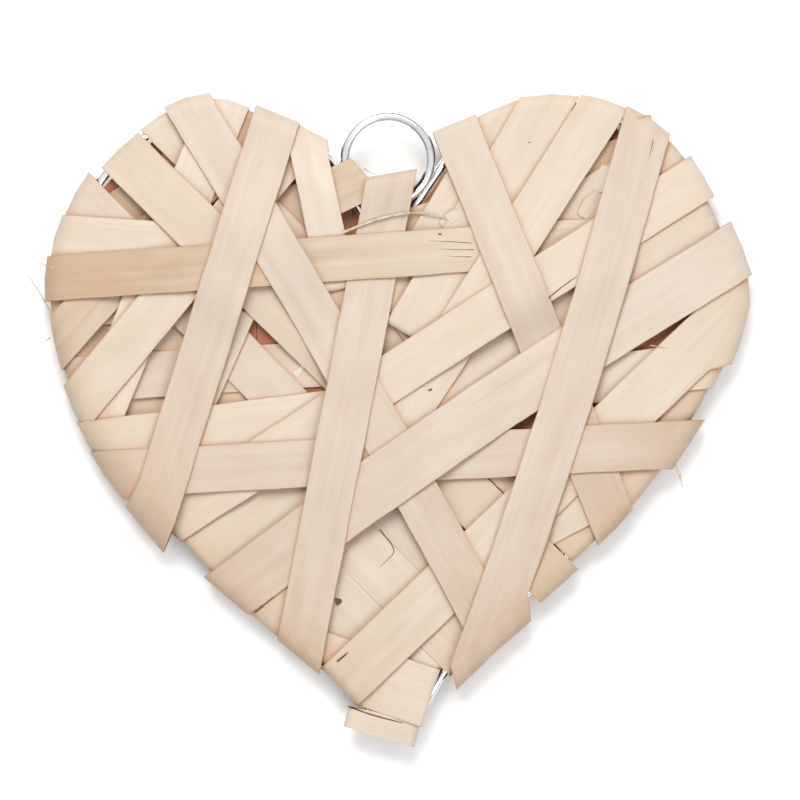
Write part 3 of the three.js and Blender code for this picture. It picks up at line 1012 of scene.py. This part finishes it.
@dataclass(frozen=True)
class InnerWinding:
    """The first turns of wood inside the winding, side by side across the wire, seen in the gaps.

    Their plain side looks to the back, and their side to the front carries painted shade, as the inside of
    the winding.
    """

    rim: Rim
    shift: np.ndarray
    span: tuple[float, float] = (-64.5, 66.5)
    width: float = 9.9
    pitch: float = 10.0
    clear: float = 2.3
    thickness: float = 0.3
    steps: int = 40
    wave: float = 0.05
    wave_size: float = 9.0
    grain_spread: float = 3.0

    def _ends(self, across: float) -> tuple[float, float]:
        """Finds where a turn's column starts and ends.

        Args:
            across: the column's place across the heart.

        Returns:
            The places of the lower and the upper end.
        """
        origin, way = np.array([across, 0.0]), np.array([0.0, 1.0])
        low, high = (self.rim.meet(origin, way, wanted)[0] for wanted in (-BEYOND, BEYOND))
        return low + self.clear, high - self.clear

    def build(self, others: BVHTree, finish: bpy.types.Material, slot: Tone) -> list[bpy.types.Object]:
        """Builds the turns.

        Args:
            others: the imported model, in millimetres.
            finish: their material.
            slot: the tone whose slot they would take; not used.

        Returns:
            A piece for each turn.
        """
        pieces = []
        for centre in np.arange(self.span[0], self.span[1], self.pitch):
            columns = centre + EDGE_SHARES * self.width / 2
            ends = np.array([self._ends(column) for column in columns])
            rows = np.linspace(ends[:, 0], ends[:, 1], self.steps)
            outer = np.zeros((self.steps, len(columns), 3))
            outer[:, :, 0], outer[:, :, 1] = columns, rows
            outer[:, :, 2] = -self.thickness / 2 + self.wave * np.sin(rows / self.wave_size + centre)
            outer += self.shift
            inner = outer + np.array([0.0, 0.0, self.thickness])
            band = Band(outer, inner, np.zeros(self.steps), np.full(self.steps, MIDDLE_TONE))
            name = f"inner_turn_{len(pieces) + 1:02d}"
            mesh = band.mesh(name, False)
            start = np.array([centre * self.grain_spread, centre])
            band.lay_maps(mesh, self.width, self.thickness, start)
            band.lay_crevice_shade(mesh, others, self.shift[2])
            mesh.materials.append(finish)
            piece = placed(name, mesh)
            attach(piece, BODY)
            pieces.append(piece)
        return pieces


def signed_volume(points: np.ndarray, faces: list[tuple[int, ...]]) -> float:
    """Works out the volume that faces enclose.

    Args:
        points: the corners.
        faces: the corners' indices for each face.

    Returns:
        The volume, below zero where the faces look inwards.
    """
    volume = 0.0
    for face in faces:
        a = points[face[0]]
        for i in range(1, len(face) - 1):
            volume += float(np.dot(a, np.cross(points[face[i]], points[face[i + 1]])))
    return volume / 6


# Wires and fibres, swept by geometry nodes


@dataclass(frozen=True)
class Sweep:
    """A geometry node tree that sweeps a round section along a run of points."""

    name: str
    sides: int
    tapered: bool = False

    def tree(self) -> tuple[bpy.types.NodeTree, dict[str, str]]:
        """Builds the tree.

        Returns:
            The tree, and the identifiers of its inputs by name.
        """
        group = bpy.data.node_groups.new(self.name, "GeometryNodeTree")
        face = group.interface
        face.new_socket("Run", in_out="INPUT", socket_type="NodeSocketGeometry")
        radius = face.new_socket("Radius", in_out="INPUT", socket_type="NodeSocketFloat")
        sides = face.new_socket("Sides", in_out="INPUT", socket_type="NodeSocketInt")
        finish = face.new_socket("Finish", in_out="INPUT", socket_type="NodeSocketMaterial")
        face.new_socket("Mesh", in_out="OUTPUT", socket_type="NodeSocketGeometry")
        tree = Tree(group)
        given = group.nodes.new("NodeGroupInput").outputs
        curve = tree.node("GeometryNodeMeshToCurve", {0: given["Run"]}).outputs[0]
        section_inputs = {"Resolution": given["Sides"], "Radius": given["Radius"]}
        section = tree.node("GeometryNodeCurvePrimitiveCircle", section_inputs).outputs[0]
        swept_inputs = {0: curve, 1: section, "Fill Caps": True}
        if self.tapered:
            named = tree.node("GeometryNodeInputNamedAttribute", {0: "thick"}, data_type="FLOAT")
            swept_inputs["Scale"] = named.outputs[0]
        swept = tree.node("GeometryNodeCurveToMesh", swept_inputs).outputs[0]
        smooth = tree.node("GeometryNodeSetShadeSmooth", {0: swept}).outputs[0]
        real = tree.node("GeometryNodeRealizeInstances", {0: smooth}).outputs[0]
        dressed = tree.node("GeometryNodeSetMaterial", {0: real, "Material": given["Finish"]})
        out = group.nodes.new("NodeGroupOutput")
        group.links.new(dressed.outputs[0], out.inputs[0])
        names = {"Radius": radius.identifier, "Sides": sides.identifier, "Finish": finish.identifier}
        return group, names


def bake_nodes(
    holder: bpy.types.Object, group: bpy.types.NodeTree, names: dict[str, str], values: dict[str, object]
) -> bpy.types.Object:
    """Turns a run of points with a node tree on it into a plain mesh.

    Args:
        holder: the object that carries the points.
        group: the geometry node tree.
        names: the identifiers of the tree's inputs.
        values: the inputs' values by name.

    Returns:
        The same object with the finished mesh and no modifier.
    """
    modifier = holder.modifiers.new("shape", "NODES")
    modifier.node_group = group
    for name, value in values.items():
        modifier[names[name]] = value
    graph = bpy.context.evaluated_depsgraph_get()
    graph.update()
    mesh = bpy.data.meshes.new_from_object(holder.evaluated_get(graph))
    holder.modifiers.remove(modifier)
    holder.data = mesh
    return holder


@dataclass(frozen=True)
class WireWork:
    """The heart's wire and the ring in the cleft."""

    outline: HeartOutline
    shift: np.ndarray
    wire_radius: float = 0.98
    ring_centre: Point = (-1.5, 55.2)
    ring_radius: float = 9.15
    ring_lift: float = 2.2
    steps: int = 6
    ring_steps: int = 96
    sides: int = 16

    def build(self, finish: WireFinish) -> list[bpy.types.Object]:
        """Builds both wires.

        Args:
            finish: the wires' finish.

        Returns:
            The frame and the ring.
        """
        material = finish.material()
        group, names = Sweep("round_wire", self.sides).tree()
        values = {"Radius": self.wire_radius * MM, "Sides": self.sides, "Finish": material}
        angles = np.linspace(0, 2 * math.pi, self.ring_steps, endpoint=False)
        ring = np.stack([np.cos(angles), np.sin(angles)], axis=1) * self.ring_radius
        runs = {
            "wire_heart": (self.outline.run(self.steps), 0.0, "heart_wire_frame"),
            "wire_ring": (ring + np.array(self.ring_centre), self.ring_lift, "hanging_ring"),
        }
        pieces = []
        for name, (plan, lift, node) in runs.items():
            points = np.column_stack([plan, np.full(len(plan), lift)]) + self.shift
            count = len(points)
            mesh = bpy.data.meshes.new(name)
            mesh.from_pydata((points * MM).tolist(), [(i, (i + 1) % count) for i in range(count)], [])
            piece = bake_nodes(placed(name, mesh), group, names, values)
            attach(piece, BODY)
            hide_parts(node)
            pieces.append(piece)
        return pieces


def spread(values: tuple[float, ...], shares: np.ndarray) -> np.ndarray:
    """Returns evenly spaced values read at shares of the way along them."""
    return np.interp(shares, np.linspace(0, 1, len(values)), values)


def laid_run(
    marks: tuple[Point, ...], lifts: tuple[float, ...], steps: int, top: BVHTree, shift: np.ndarray
) -> np.ndarray:
    """Lays a smooth run of points over the wood below it.

    Args:
        marks: the run in plan.
        lifts: heights over the wood along the run.
        steps: how many points to make.
        top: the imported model, in millimetres.
        shift: where the plan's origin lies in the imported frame.

    Returns:
        An array of points in millimetres.
    """
    fine = np.linspace(0, 1, steps)
    plan = np.array(marks) + shift[:2]
    place = np.column_stack([spread(plan[:, k], fine) for k in (0, 1)])
    kernel = np.ones(SOFTEN_POINTS) / SOFTEN_POINTS
    reach = SOFTEN_POINTS // 2
    for _ in range(SOFTEN_ROUNDS):
        padded = np.pad(place, ((reach, reach), (0, 0)), mode="reflect", reflect_type="odd")
        place = np.column_stack([np.convolve(padded[:, k], kernel, mode="valid") for k in (0, 1)])
    hits = [top.ray_cast(Vector((x, y, FAR)), Vector((0, 0, -1)))[0] for x, y in place]
    known = [i for i, hit in enumerate(hits) if hit is not None]
    heights = np.full(steps, shift[2])
    if known:
        heights = np.interp(np.arange(steps), known, [hits[i].z for i in known])
    return np.column_stack([place, heights + spread(lifts, fine)])


@dataclass(frozen=True)
class FibrePlan:
    """One fibre or split: its run in plan, its heights over the wood and its thickness at the root.

    tip: the thickness at the tip as a share of that at the root.
    """

    name: str
    run: tuple[Point, ...]
    lifts: tuple[float, ...]
    thick: float
    tip: float = 0.25


@dataclass(frozen=True)
class LooseFibres:
    """Hairs and splinters that have come away from the wood, or dark splits in it."""

    name: str
    plans: tuple[FibrePlan, ...]
    shift: np.ndarray
    steps: int = 28
    sides: int = 6
    taper_power: float = 1.5

    def build(self, top: BVHTree, finish: FibreFinish, slot: Tone) -> bpy.types.Object:
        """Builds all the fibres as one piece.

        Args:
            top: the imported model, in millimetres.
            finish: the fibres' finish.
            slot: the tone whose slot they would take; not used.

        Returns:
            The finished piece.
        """
        points, thick, edges = [], [], []
        taper = np.linspace(0, 1, self.steps) ** self.taper_power
        for plan in self.plans:
            LOG.info("%s: laying %s", self.name, plan.name)
            run = laid_run(plan.run, plan.lifts, self.steps, top, self.shift)
            first = len(points)
            points.extend((run * MM).tolist())
            thick.extend(plan.thick * (1 - (1 - plan.tip) * taper))
            edges.extend((first + i, first + i + 1) for i in range(len(run) - 1))
        mesh = bpy.data.meshes.new(self.name)
        mesh.from_pydata(points, edges, [])
        layer = mesh.attributes.new("thick", "FLOAT", "POINT")
        layer.data.foreach_set("value", thick)
        holder = placed(self.name, mesh)
        group, names = Sweep("tapered_fibre", self.sides, tapered=True).tree()
        values = {"Radius": MM, "Sides": self.sides, "Finish": finish.material()}
        piece = bake_nodes(holder, group, names, values)
        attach(piece, BODY)
        return piece


@dataclass(frozen=True)
class ScrapPlan:
    """One torn or curled bit of wood: its run in plan, and along the run its widths, its heights
    over the wood and how far it tips sideways, in degrees."""

    name: str
    run: tuple[Point, ...]
    widths: tuple[float, ...]
    lifts: tuple[float, ...]
    tips: tuple[float, ...]
    tone: Tone
    tones: tuple[float, float] = (0.0, 0.0)


@dataclass(frozen=True)
class TornChips:
    """Bits of torn wood at the rim and in the gaps."""

    plans: tuple[ScrapPlan, ...]
    shift: np.ndarray
    thickness: float = 0.3
    steps: int = 20
    grain_step: float = 60.0

    def _band(self, plan: ScrapPlan, top: BVHTree) -> Band:
        """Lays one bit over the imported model.

        Args:
            plan: the bit's plan.
            top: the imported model, in millimetres.

        Returns:
            The bit's band.
        """
        fine = np.linspace(0, 1, self.steps)
        centre = laid_run(plan.run, plan.lifts, self.steps, top, self.shift)
        along = np.gradient(centre[:, :2], axis=0)
        along /= np.linalg.norm(along, axis=1)[:, None]
        side = np.column_stack([-along[:, 1], along[:, 0]])
        tips = np.radians(spread(plan.tips, fine))[:, None]
        across = np.column_stack([side * np.cos(tips), np.sin(tips)])
        upward = np.column_stack([side * -np.sin(tips), np.cos(tips)])
        halves = spread(plan.widths, fine)[:, None, None] / 2 * EDGE_SHARES[None, :, None]
        outer = centre[:, None, :] + across[:, None, :] * halves
        inner = outer - upward[:, None, :] * self.thickness
        return Band(outer, inner, np.zeros(self.steps), MIDDLE_TONE + spread(plan.tones, fine))

    def build(self, top: BVHTree, materials: dict[Tone, bpy.types.Material]) -> list[bpy.types.Object]:
        """Builds the bits.

        Args:
            top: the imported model, in millimetres.
            materials: the wood's materials by tone.

        Returns:
            A piece for each bit.
        """
        pieces = []
        for plan in self.plans:
            band = self._band(plan, top)
            mesh = band.mesh(plan.name, False)
            start = np.array([len(pieces) * self.grain_step, 0.0])
            band.lay_maps(mesh, max(plan.widths), self.thickness, start)
            mesh.materials.append(materials[plan.tone])
            piece = placed(plan.name, mesh)
            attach(piece, BODY)
            pieces.append(piece)
        return pieces


# Setting


@dataclass(frozen=True)
class Studio:
    """A plain pale floor, soft light from above the cleft and a camera straight above."""

    shift: np.ndarray
    frame_width: float = 0.17024
    view_centre: Point = (1.064, 3.937)
    camera_height: float = 1.5
    object_height: float = 0.009
    sensor: float = 36.0
    floor_reach: float = 2.0
    floor_depth: float = 0.05
    floor_colour: Rgb = (0.93, 0.93, 0.93)
    floor_roughness: float = 0.9
    floor_sheen: float = 0.1
    key_place: Place = (-0.12, 0.58, 0.8)
    key_size: float = 0.5
    key_power: float = 8.2
    fill_place: Place = (0.5, -0.5, 0.9)
    fill_size: float = 0.7
    fill_power: float = 3.5
    surround: float = 0.97
    surround_low: Rgb = (0.25, 0.25, 0.26)
    surround_high: Rgb = (0.85, 0.85, 0.85)
    surround_range: Range = (0.0, 0.75)

    def camera(self) -> bpy.types.Object:
        """Makes the camera that looks straight down on the front of the heart.

        Returns:
            The camera.
        """
        data = bpy.data.cameras.new("camera")
        data.sensor_width = self.sensor
        data.lens = self.sensor * (self.camera_height - self.object_height) / self.frame_width
        made = placed("camera", data)
        x, y = (np.array(self.view_centre) + self.shift[:2]) * MM
        made.location = (x, y, self.camera_height)
        bpy.context.scene.camera = made
        return made

    def floor(self) -> bpy.types.Object:
        """Makes the floor just under the ornament.

        Returns:
            The floor.
        """
        mesh = bpy.data.meshes.new("floor")
        turns = ((-1, -1), (1, -1), (1, 1), (-1, 1))
        corners = [(x * self.floor_reach, y * self.floor_reach, -self.floor_depth * MM) for x, y in turns]
        mesh.from_pydata(corners, [], [(0, 1, 2, 3)])
        material, _, shader = new_material("floor_paper")
        shader.inputs["Base Color"].default_value = rgba(self.floor_colour)
        shader.inputs["Roughness"].default_value = self.floor_roughness
        shader.inputs["Specular IOR Level"].default_value = self.floor_sheen
        mesh.materials.append(material)
        made = placed("floor", mesh)
        return made

    def lights(self) -> None:
        """Makes a broad key light beyond the cleft, a weak fill and a pale surround."""
        for name, place, size, power in (
            ("key", self.key_place, self.key_size, self.key_power),
            ("fill", self.fill_place, self.fill_size, self.fill_power),
        ):
            data = bpy.data.lights.new(name, "AREA")
            data.size = size
            data.energy = power
            made = placed(name, data)
            made.location = place
            made.rotation_euler = (-Vector(place)).to_track_quat("-Z", "Y").to_euler()
        world = bpy.data.worlds.new("surround")
        world.use_nodes = True
        bpy.context.scene.world = world
        tree = Tree(world.node_tree)
        way = tree.node("ShaderNodeTexCoord").outputs["Generated"]
        height = tree.node("ShaderNodeSeparateXYZ", {0: way}).outputs[2]
        share = tree.ramp(height, *self.surround_range)
        colour = tree.blend(share, rgba(self.surround_low), rgba(self.surround_high))
        background = world.node_tree.nodes["Background"]
        tree.join(colour, background, "Color")
        background.inputs["Strength"].default_value = self.surround


# The ornament's own values

OUTLINE = HeartOutline(
    (
        (-1.7, 37.3), (-7.9, 45.4), (-13.2, 54.6), (-21.2, 59.8), (-30.0, 63.4), (-38.5, 66.4),
        (-46.0, 64.9), (-54.0, 59.5), (-62.4, 51.2), (-69.0, 38.1), (-70.0, 23.2), (-64.8, 4.6),
        (-55.8, -10.8), (-37.4, -32.3), (-12.8, -52.9), (-3.2, -63.7), (1.1, -66.5), (4.7, -63.3),
        (11.2, -53.1), (29.9, -35.4), (46.9, -19.6), (59.2, -3.2), (68.5, 13.5), (71.7, 27.3),
        (67.9, 38.6), (58.9, 55.4), (46.4, 64.4), (32.4, 66.6), (17.4, 62.4), (9.6, 53.3),
        (3.4, 44.2),
    )
)

STRIPS = (
    StripPlan("tall_right", ((53.8, 63.5), (17.2, -53.1)), 10.6, Tone.PINK, bow=1.4),
    StripPlan("tall_left", ((-24.7, 65.6), (-52.3, -23.3)), 10, Tone.PINK, tones=(-0.1, 0.1)),
    StripPlan(
        "tall_middle", ((-0.9, 50.8), (-20.9, -52.5)), 10.2, Tone.PINK,
        square=(True, False), slant=(-0.38, 0),
    ),
    StripPlan("broad_slope", ((-36.8, -38.6), (72.8, 35.4)), 12.2, Tone.PINK, bow=2, tones=(0.1, -0.2)),
    StripPlan("left_slope", ((-44.9, 68.4), (22.8, -49.7)), 9.8, Tone.PINK, bow=1.2, tones=(-0.1, 0.1)),
    StripPlan("lower_level", ((-61.7, -11.8), (63.2, -5.4)), 10, Tone.PINK, tones=(0, 0.1)),
    StripPlan(
        "right_slope", ((13.1, 61.5), (47.9, -25.2)), 10, Tone.PINK,
        square=(True, False), tones=(-0.1, 0.2),
    ),
    StripPlan("upper_rise", ((-48.3, -22.0), (65.3, 51.6)), 10, Tone.PALE, tones=(0.15, 0.15)),
    StripPlan("crown_slope", ((43.6, 65.6), (-29.2, -48.2)), 10, Tone.CREAM),
    StripPlan("second_rise", ((-43.2, -30.1), (69.2, 43.9)), 9.8, Tone.CREAM, tones=(0, 0.15)),
    StripPlan("upper_level", ((-74.7, 29.7), (72.4, 39.9)), 9.6, Tone.TAN, tones=(0.3, -0.5)),
    StripPlan("lower_rise", ((-8.5, -54.0), (72.8, 23.7)), 11.2, Tone.CREAM),
    StripPlan("middle_level", ((-65.8, -5.6), (71.5, 12.0)), 10, Tone.CREAM, tones=(0, -0.15)),
    StripPlan("second_fall", ((-60.6, 59.1), (37.7, -38.3)), 10.8, Tone.CREAM, tones=(0.15, 0.4)),
    StripPlan("lobe_short", ((-19.8, 63.5), (-12.1, 27.4)), 7.9, Tone.PALE, is_open=True),
    StripPlan("lobe_slant", ((-68.1, 2.2), (-17.0, 63.9)), 9.8, Tone.CREAM),
    StripPlan("left_level", ((-73.8, 38.8), (-22.3, 34.8)), 9.8, Tone.CREAM, is_open=True),
    StripPlan("pale_slant", ((-35.5, 68.2), (-65.3, -5.2)), 10, Tone.PALE),
    StripPlan("inner_slant", ((-56.4, -25.9), (-34.3, 23.8)), 10, Tone.CREAM, is_open=True),
    StripPlan("third_fall", ((-68.1, 48.0), (28.7, -48.8)), 10.2, Tone.PINK),
    StripPlan("lobe_slant_outer", ((-73.4, 14.6), (-29.2, 63.5)), 9.4, Tone.TAN),
    StripPlan("crown_slant", ((31.6, 66.1), (2.6, 17.8)), 10.6, Tone.CREAM, is_open=True),
    StripPlan("crown_left", ((24.6, 65.5), (4.2, 31.5)), 10, Tone.CREAM, is_open=True),
    StripPlan("under_level", ((-75.1, 24.4), (22.3, 28.4)), 9.8, Tone.CREAM, is_open=True),
    StripPlan("first_rise", ((60.6, 58.6), (0.0, 19.3)), 9.8, Tone.CREAM, is_open=True, tones=(0.2, 0.2)),
    StripPlan("cleft_rise", ((57.5, 57.7), (-2.0, 38.0)), 9.8, Tone.TAN, is_open=True),
    StripPlan(
        "tip_wrap", ((-8.9, -63.9), (3.2, -67.1)), 4.0, Tone.PALE,
        square=(True, True), taper=(0.85, 1), extra=1.2,
    ),
    StripPlan("bottom_rise", ((62.8, -6.3), (23.4, -26.3)), 10, Tone.CREAM, is_open=True),
    StripPlan("first_fall", ((-51.1, 65.4), (43.6, -29.3)), 10, Tone.CREAM),
    StripPlan("side_rise", ((65.5, 3.5), (35.1, -17.1)), 10, Tone.TAN, is_open=True, tones=(-0.3, -0.3)),
    StripPlan("inner_level", ((-69.2, 8.2), (4.0, 13.0)), 9.8, Tone.PINK, is_open=True),
    StripPlan("fourth_fall", ((-72.6, 37.8), (14.6, -49.9)), 10, Tone.CREAM, extra=1.2),
    StripPlan("tip_band", ((-17.2, -51.3), (7.6, -59.6)), 12.2, Tone.PALE, is_open=True, extra=0.6),
    StripPlan("fifth_fall", ((-72.0, 20.3), (5.2, -57.3)), 11.2, Tone.CREAM, is_open=True, extra=2),
    StripPlan("lobe_lining", ((-72.6, 32.4), (-36.2, 59.3)), 11, Tone.TAN, is_open=True),
    StripPlan("cleft_band", ((-74.2, 20.3), (-6.0, 51.6)), 9.8, Tone.TAN, slant=(0, -0.3), is_open=True),
)

FIBRES = (
    FibrePlan("long_splinter", ((-72.6, 21.0), (-75.5, 26.5), (-79.0, 31.8)), (0.1, 0.6, 1.4), 0.2),
    FibrePlan("short_splinter", ((-72.5, 31.9), (-75.4, 33.0), (-78.0, 34.4)), (0.1, 0.5, 0.9), 0.14),
    FibrePlan("cleft_hair", ((-6.6, 53.3), (-5.2, 52.4), (-3.4, 51.7)), (0.2, 0.3, 0.2), 0.1),
    FibrePlan("side_sliver", ((60.0, -10.0), (60.8, -12.4), (61.3, -14.6)), (0.2, 0.3, 0.4), 0.3),
    FibrePlan("rise_hair", ((54.3, 15.6), (56.0, 15.3), (58.0, 14.9)), (0.1, 0.15, 0.1), 0.09),
    FibrePlan("left_fray", ((-73.4, 17.3), (-74.4, 16.6), (-75.2, 15.9)), (0.1, 0.2, 0.2), 0.14),
    FibrePlan(
        "curled_fibre",
        ((-11.0, 39.6), (-3.5, 42.6), (4.5, 44.1), (9.5, 43.0), (11.4, 42.2)),
        (0.3, 0.7, 0.8, 0.6, 0.2),
        0.3,
    ),
)

# Dark marks sunk into the wood: the splits, cracks, frays, lines, hole, slot and notch are painted shade
# in hollows, and the knot and specks are dark wood.
SPLITS = (
    FibrePlan("right_strip_split", ((55.3, 61.0), (54.7, 57.8), (53.8, 54.6)), (-0.05, -0.04), 0.13),
    FibrePlan("lower_crack", ((-3.2, -23.7), (-0.6, -26.9), (0.0, -28.6), (-3.2, -31.6)), (0.02,), 0.12),
    FibrePlan("tip_slit", ((-9.9, -61.3), (-6.0, -62.8), (-1.0, -64.2), (1.6, -64.8)), (0.02,), 0.17, 0.4),
    FibrePlan("lower_hole", ((-12.6, -39.1), (-11.7, -38.9), (-10.8, -38.6)), (-0.6,), 1.2, 0.3),
    FibrePlan("lower_slot", ((-12.3, -51.7), (-10.9, -50.6), (-9.6, -49.4)), (-0.22,), 0.44, 0.45),
    FibrePlan("left_notch", ((-30.0, -41.0), (-26.6, -38.6), (-23.4, -36.4)), (-0.25,), 0.42, 0.35),
    FibrePlan("right_lobe_line", ((32.6, 25.6), (35.5, 28.0), (38.7, 30.3)), (-0.03,), 0.1, 0.4),
    FibrePlan("level_fray_upper", ((16.4, 37.3), (12.1, 37.6), (7.4, 37.8)), (-0.03,), 0.08, 0.3),
    FibrePlan("level_fray_middle", ((16.8, 35.9), (13.0, 35.9), (9.2, 36.1)), (-0.03,), 0.09, 0.3),
    FibrePlan("level_fray_lower", ((16.2, 34.4), (13.4, 34.4), (10.9, 34.6)), (-0.03,), 0.07, 0.3),
    FibrePlan("knot", ((7.1, 5.9), (7.9, 6.3)), (-0.2,), 0.34, 0.8),
    FibrePlan("crown_speck", ((28.3, 58.8), (28.9, 58.8)), (-0.08,), 0.15, 0.8),
    FibrePlan("level_speck", ((9.2, 39.2), (9.9, 39.2)), (-0.08,), 0.17, 0.8),
)

SCRAPS = (
    ScrapPlan(
        "right_lobe_bit", ((45.1, 53.7), (43.8, 50.8), (43.2, 48.2)), (2.2, 2.8, 2.0), (0.15,), (10,),
        Tone.PALE, (0.1, 0.3),
    ),
    ScrapPlan(
        "right_lobe_flake", ((43.8, 48.0), (41.9, 45.4), (40.0, 42.7)), (2.6, 4.2, 3.0), (0.1,), (-8,),
        Tone.PALE, (0.2, 0.3),
    ),
    ScrapPlan(
        "cleft_flake", ((9.6, 41.2), (11.5, 42.5), (13.6, 43.9)), (1.2, 2.4, 2.2), (0.15,), (6,),
        Tone.PALE, (0, 0),
    ),
    ScrapPlan(
        "folded_corner", ((51.5, 63.5), (53.2, 63.8), (54.7, 64.1)), (0.9, 1.5, 1.1), (0.1,), (12,),
        Tone.TAN, (0.2, 0.2),
    ),
    ScrapPlan(
        "inner_chip", ((-21.5, 9.3), (-20.4, 10.1), (-19.6, 11.2)), (1.6, 1.3, 0.6), (0.12,), (8,),
        Tone.PALE, (-0.2, -0.2),
    ),
)


def solid_tree(nodes: list[bpy.types.Object]) -> BVHTree:
    """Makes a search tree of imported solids.

    Args:
        nodes: the solids' objects.

    Returns:
        The tree, in millimetres.
    """
    points, faces = [], []
    for node in nodes:
        first = len(points)
        points.extend(vertex.co / MM for vertex in node.data.vertices)
        faces.extend([first + i for i in face.vertices] for face in node.data.polygons)
    return BVHTree.FromPolygons(points, faces)


def frame_shift(wires: WireWork) -> np.ndarray:
    """Finds where the plan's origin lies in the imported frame, from the ring's solid.

    Args:
        wires: the wires, for the ring's place in plan.

    Returns:
        The place in millimetres.
    """
    low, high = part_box("hanging_ring")
    centre = np.array((low + high) / 2) / MM
    return centre - np.array([*wires.ring_centre, wires.ring_lift])


def main() -> None:
    """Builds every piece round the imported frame."""
    logging.basicConfig(level=logging.INFO, format="%(name)s: %(message)s")
    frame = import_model()
    nodes = frame["nodes"]
    shift = frame_shift(WireWork(OUTLINE, np.zeros(3)))
    studio = Studio(shift)
    studio.camera()
    for piece in WireWork(OUTLINE, shift).build(WireFinish()):
        LOG.info("%s: %d faces", piece.name, len(piece.data.polygons))
    materials = {finish.tone: finish.material() for finish in CHIP_FINISHES}
    rim = Rim(OUTLINE)
    for seed, plan in enumerate(STRIPS):
        strip = ChipStrip(plan, rim, shift, seed)
        others = solid_tree([node for name, node in nodes.items() if name != plan.node])
        piece = strip.build(solid_tree([nodes[plan.node]]), others, materials[plan.tone])
        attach(piece, BODY)
        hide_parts(plan.node)
        LOG.info("%s: %d faces", piece.name, len(piece.data.polygons))
    top = solid_tree(list(nodes.values()))
    pieces = [
        LooseFibres("loose_fibres", FIBRES, shift).build(top, FIBRE_FINISH, Tone.PALE),
        # The splits, holes and notches are painted dark as shade; the knot and specks are dark wood.
        LooseFibres("split_shades_and_knots", SPLITS, shift).build(top, SPLIT_SHADE_AND_KNOT_FINISH, Tone.TAN),
        *TornChips(SCRAPS, shift).build(top, materials),
        *InnerWinding(rim, shift).build(top, materials[Tone.CREAM], Tone.CREAM),
    ]
    for piece in pieces:
        LOG.info("%s: %d faces", piece.name, len(piece.data.polygons))
    studio.floor()
    studio.lights()
    bpy.context.scene.view_settings.view_transform = "Standard"


if __name__ == "__main__":
    main()
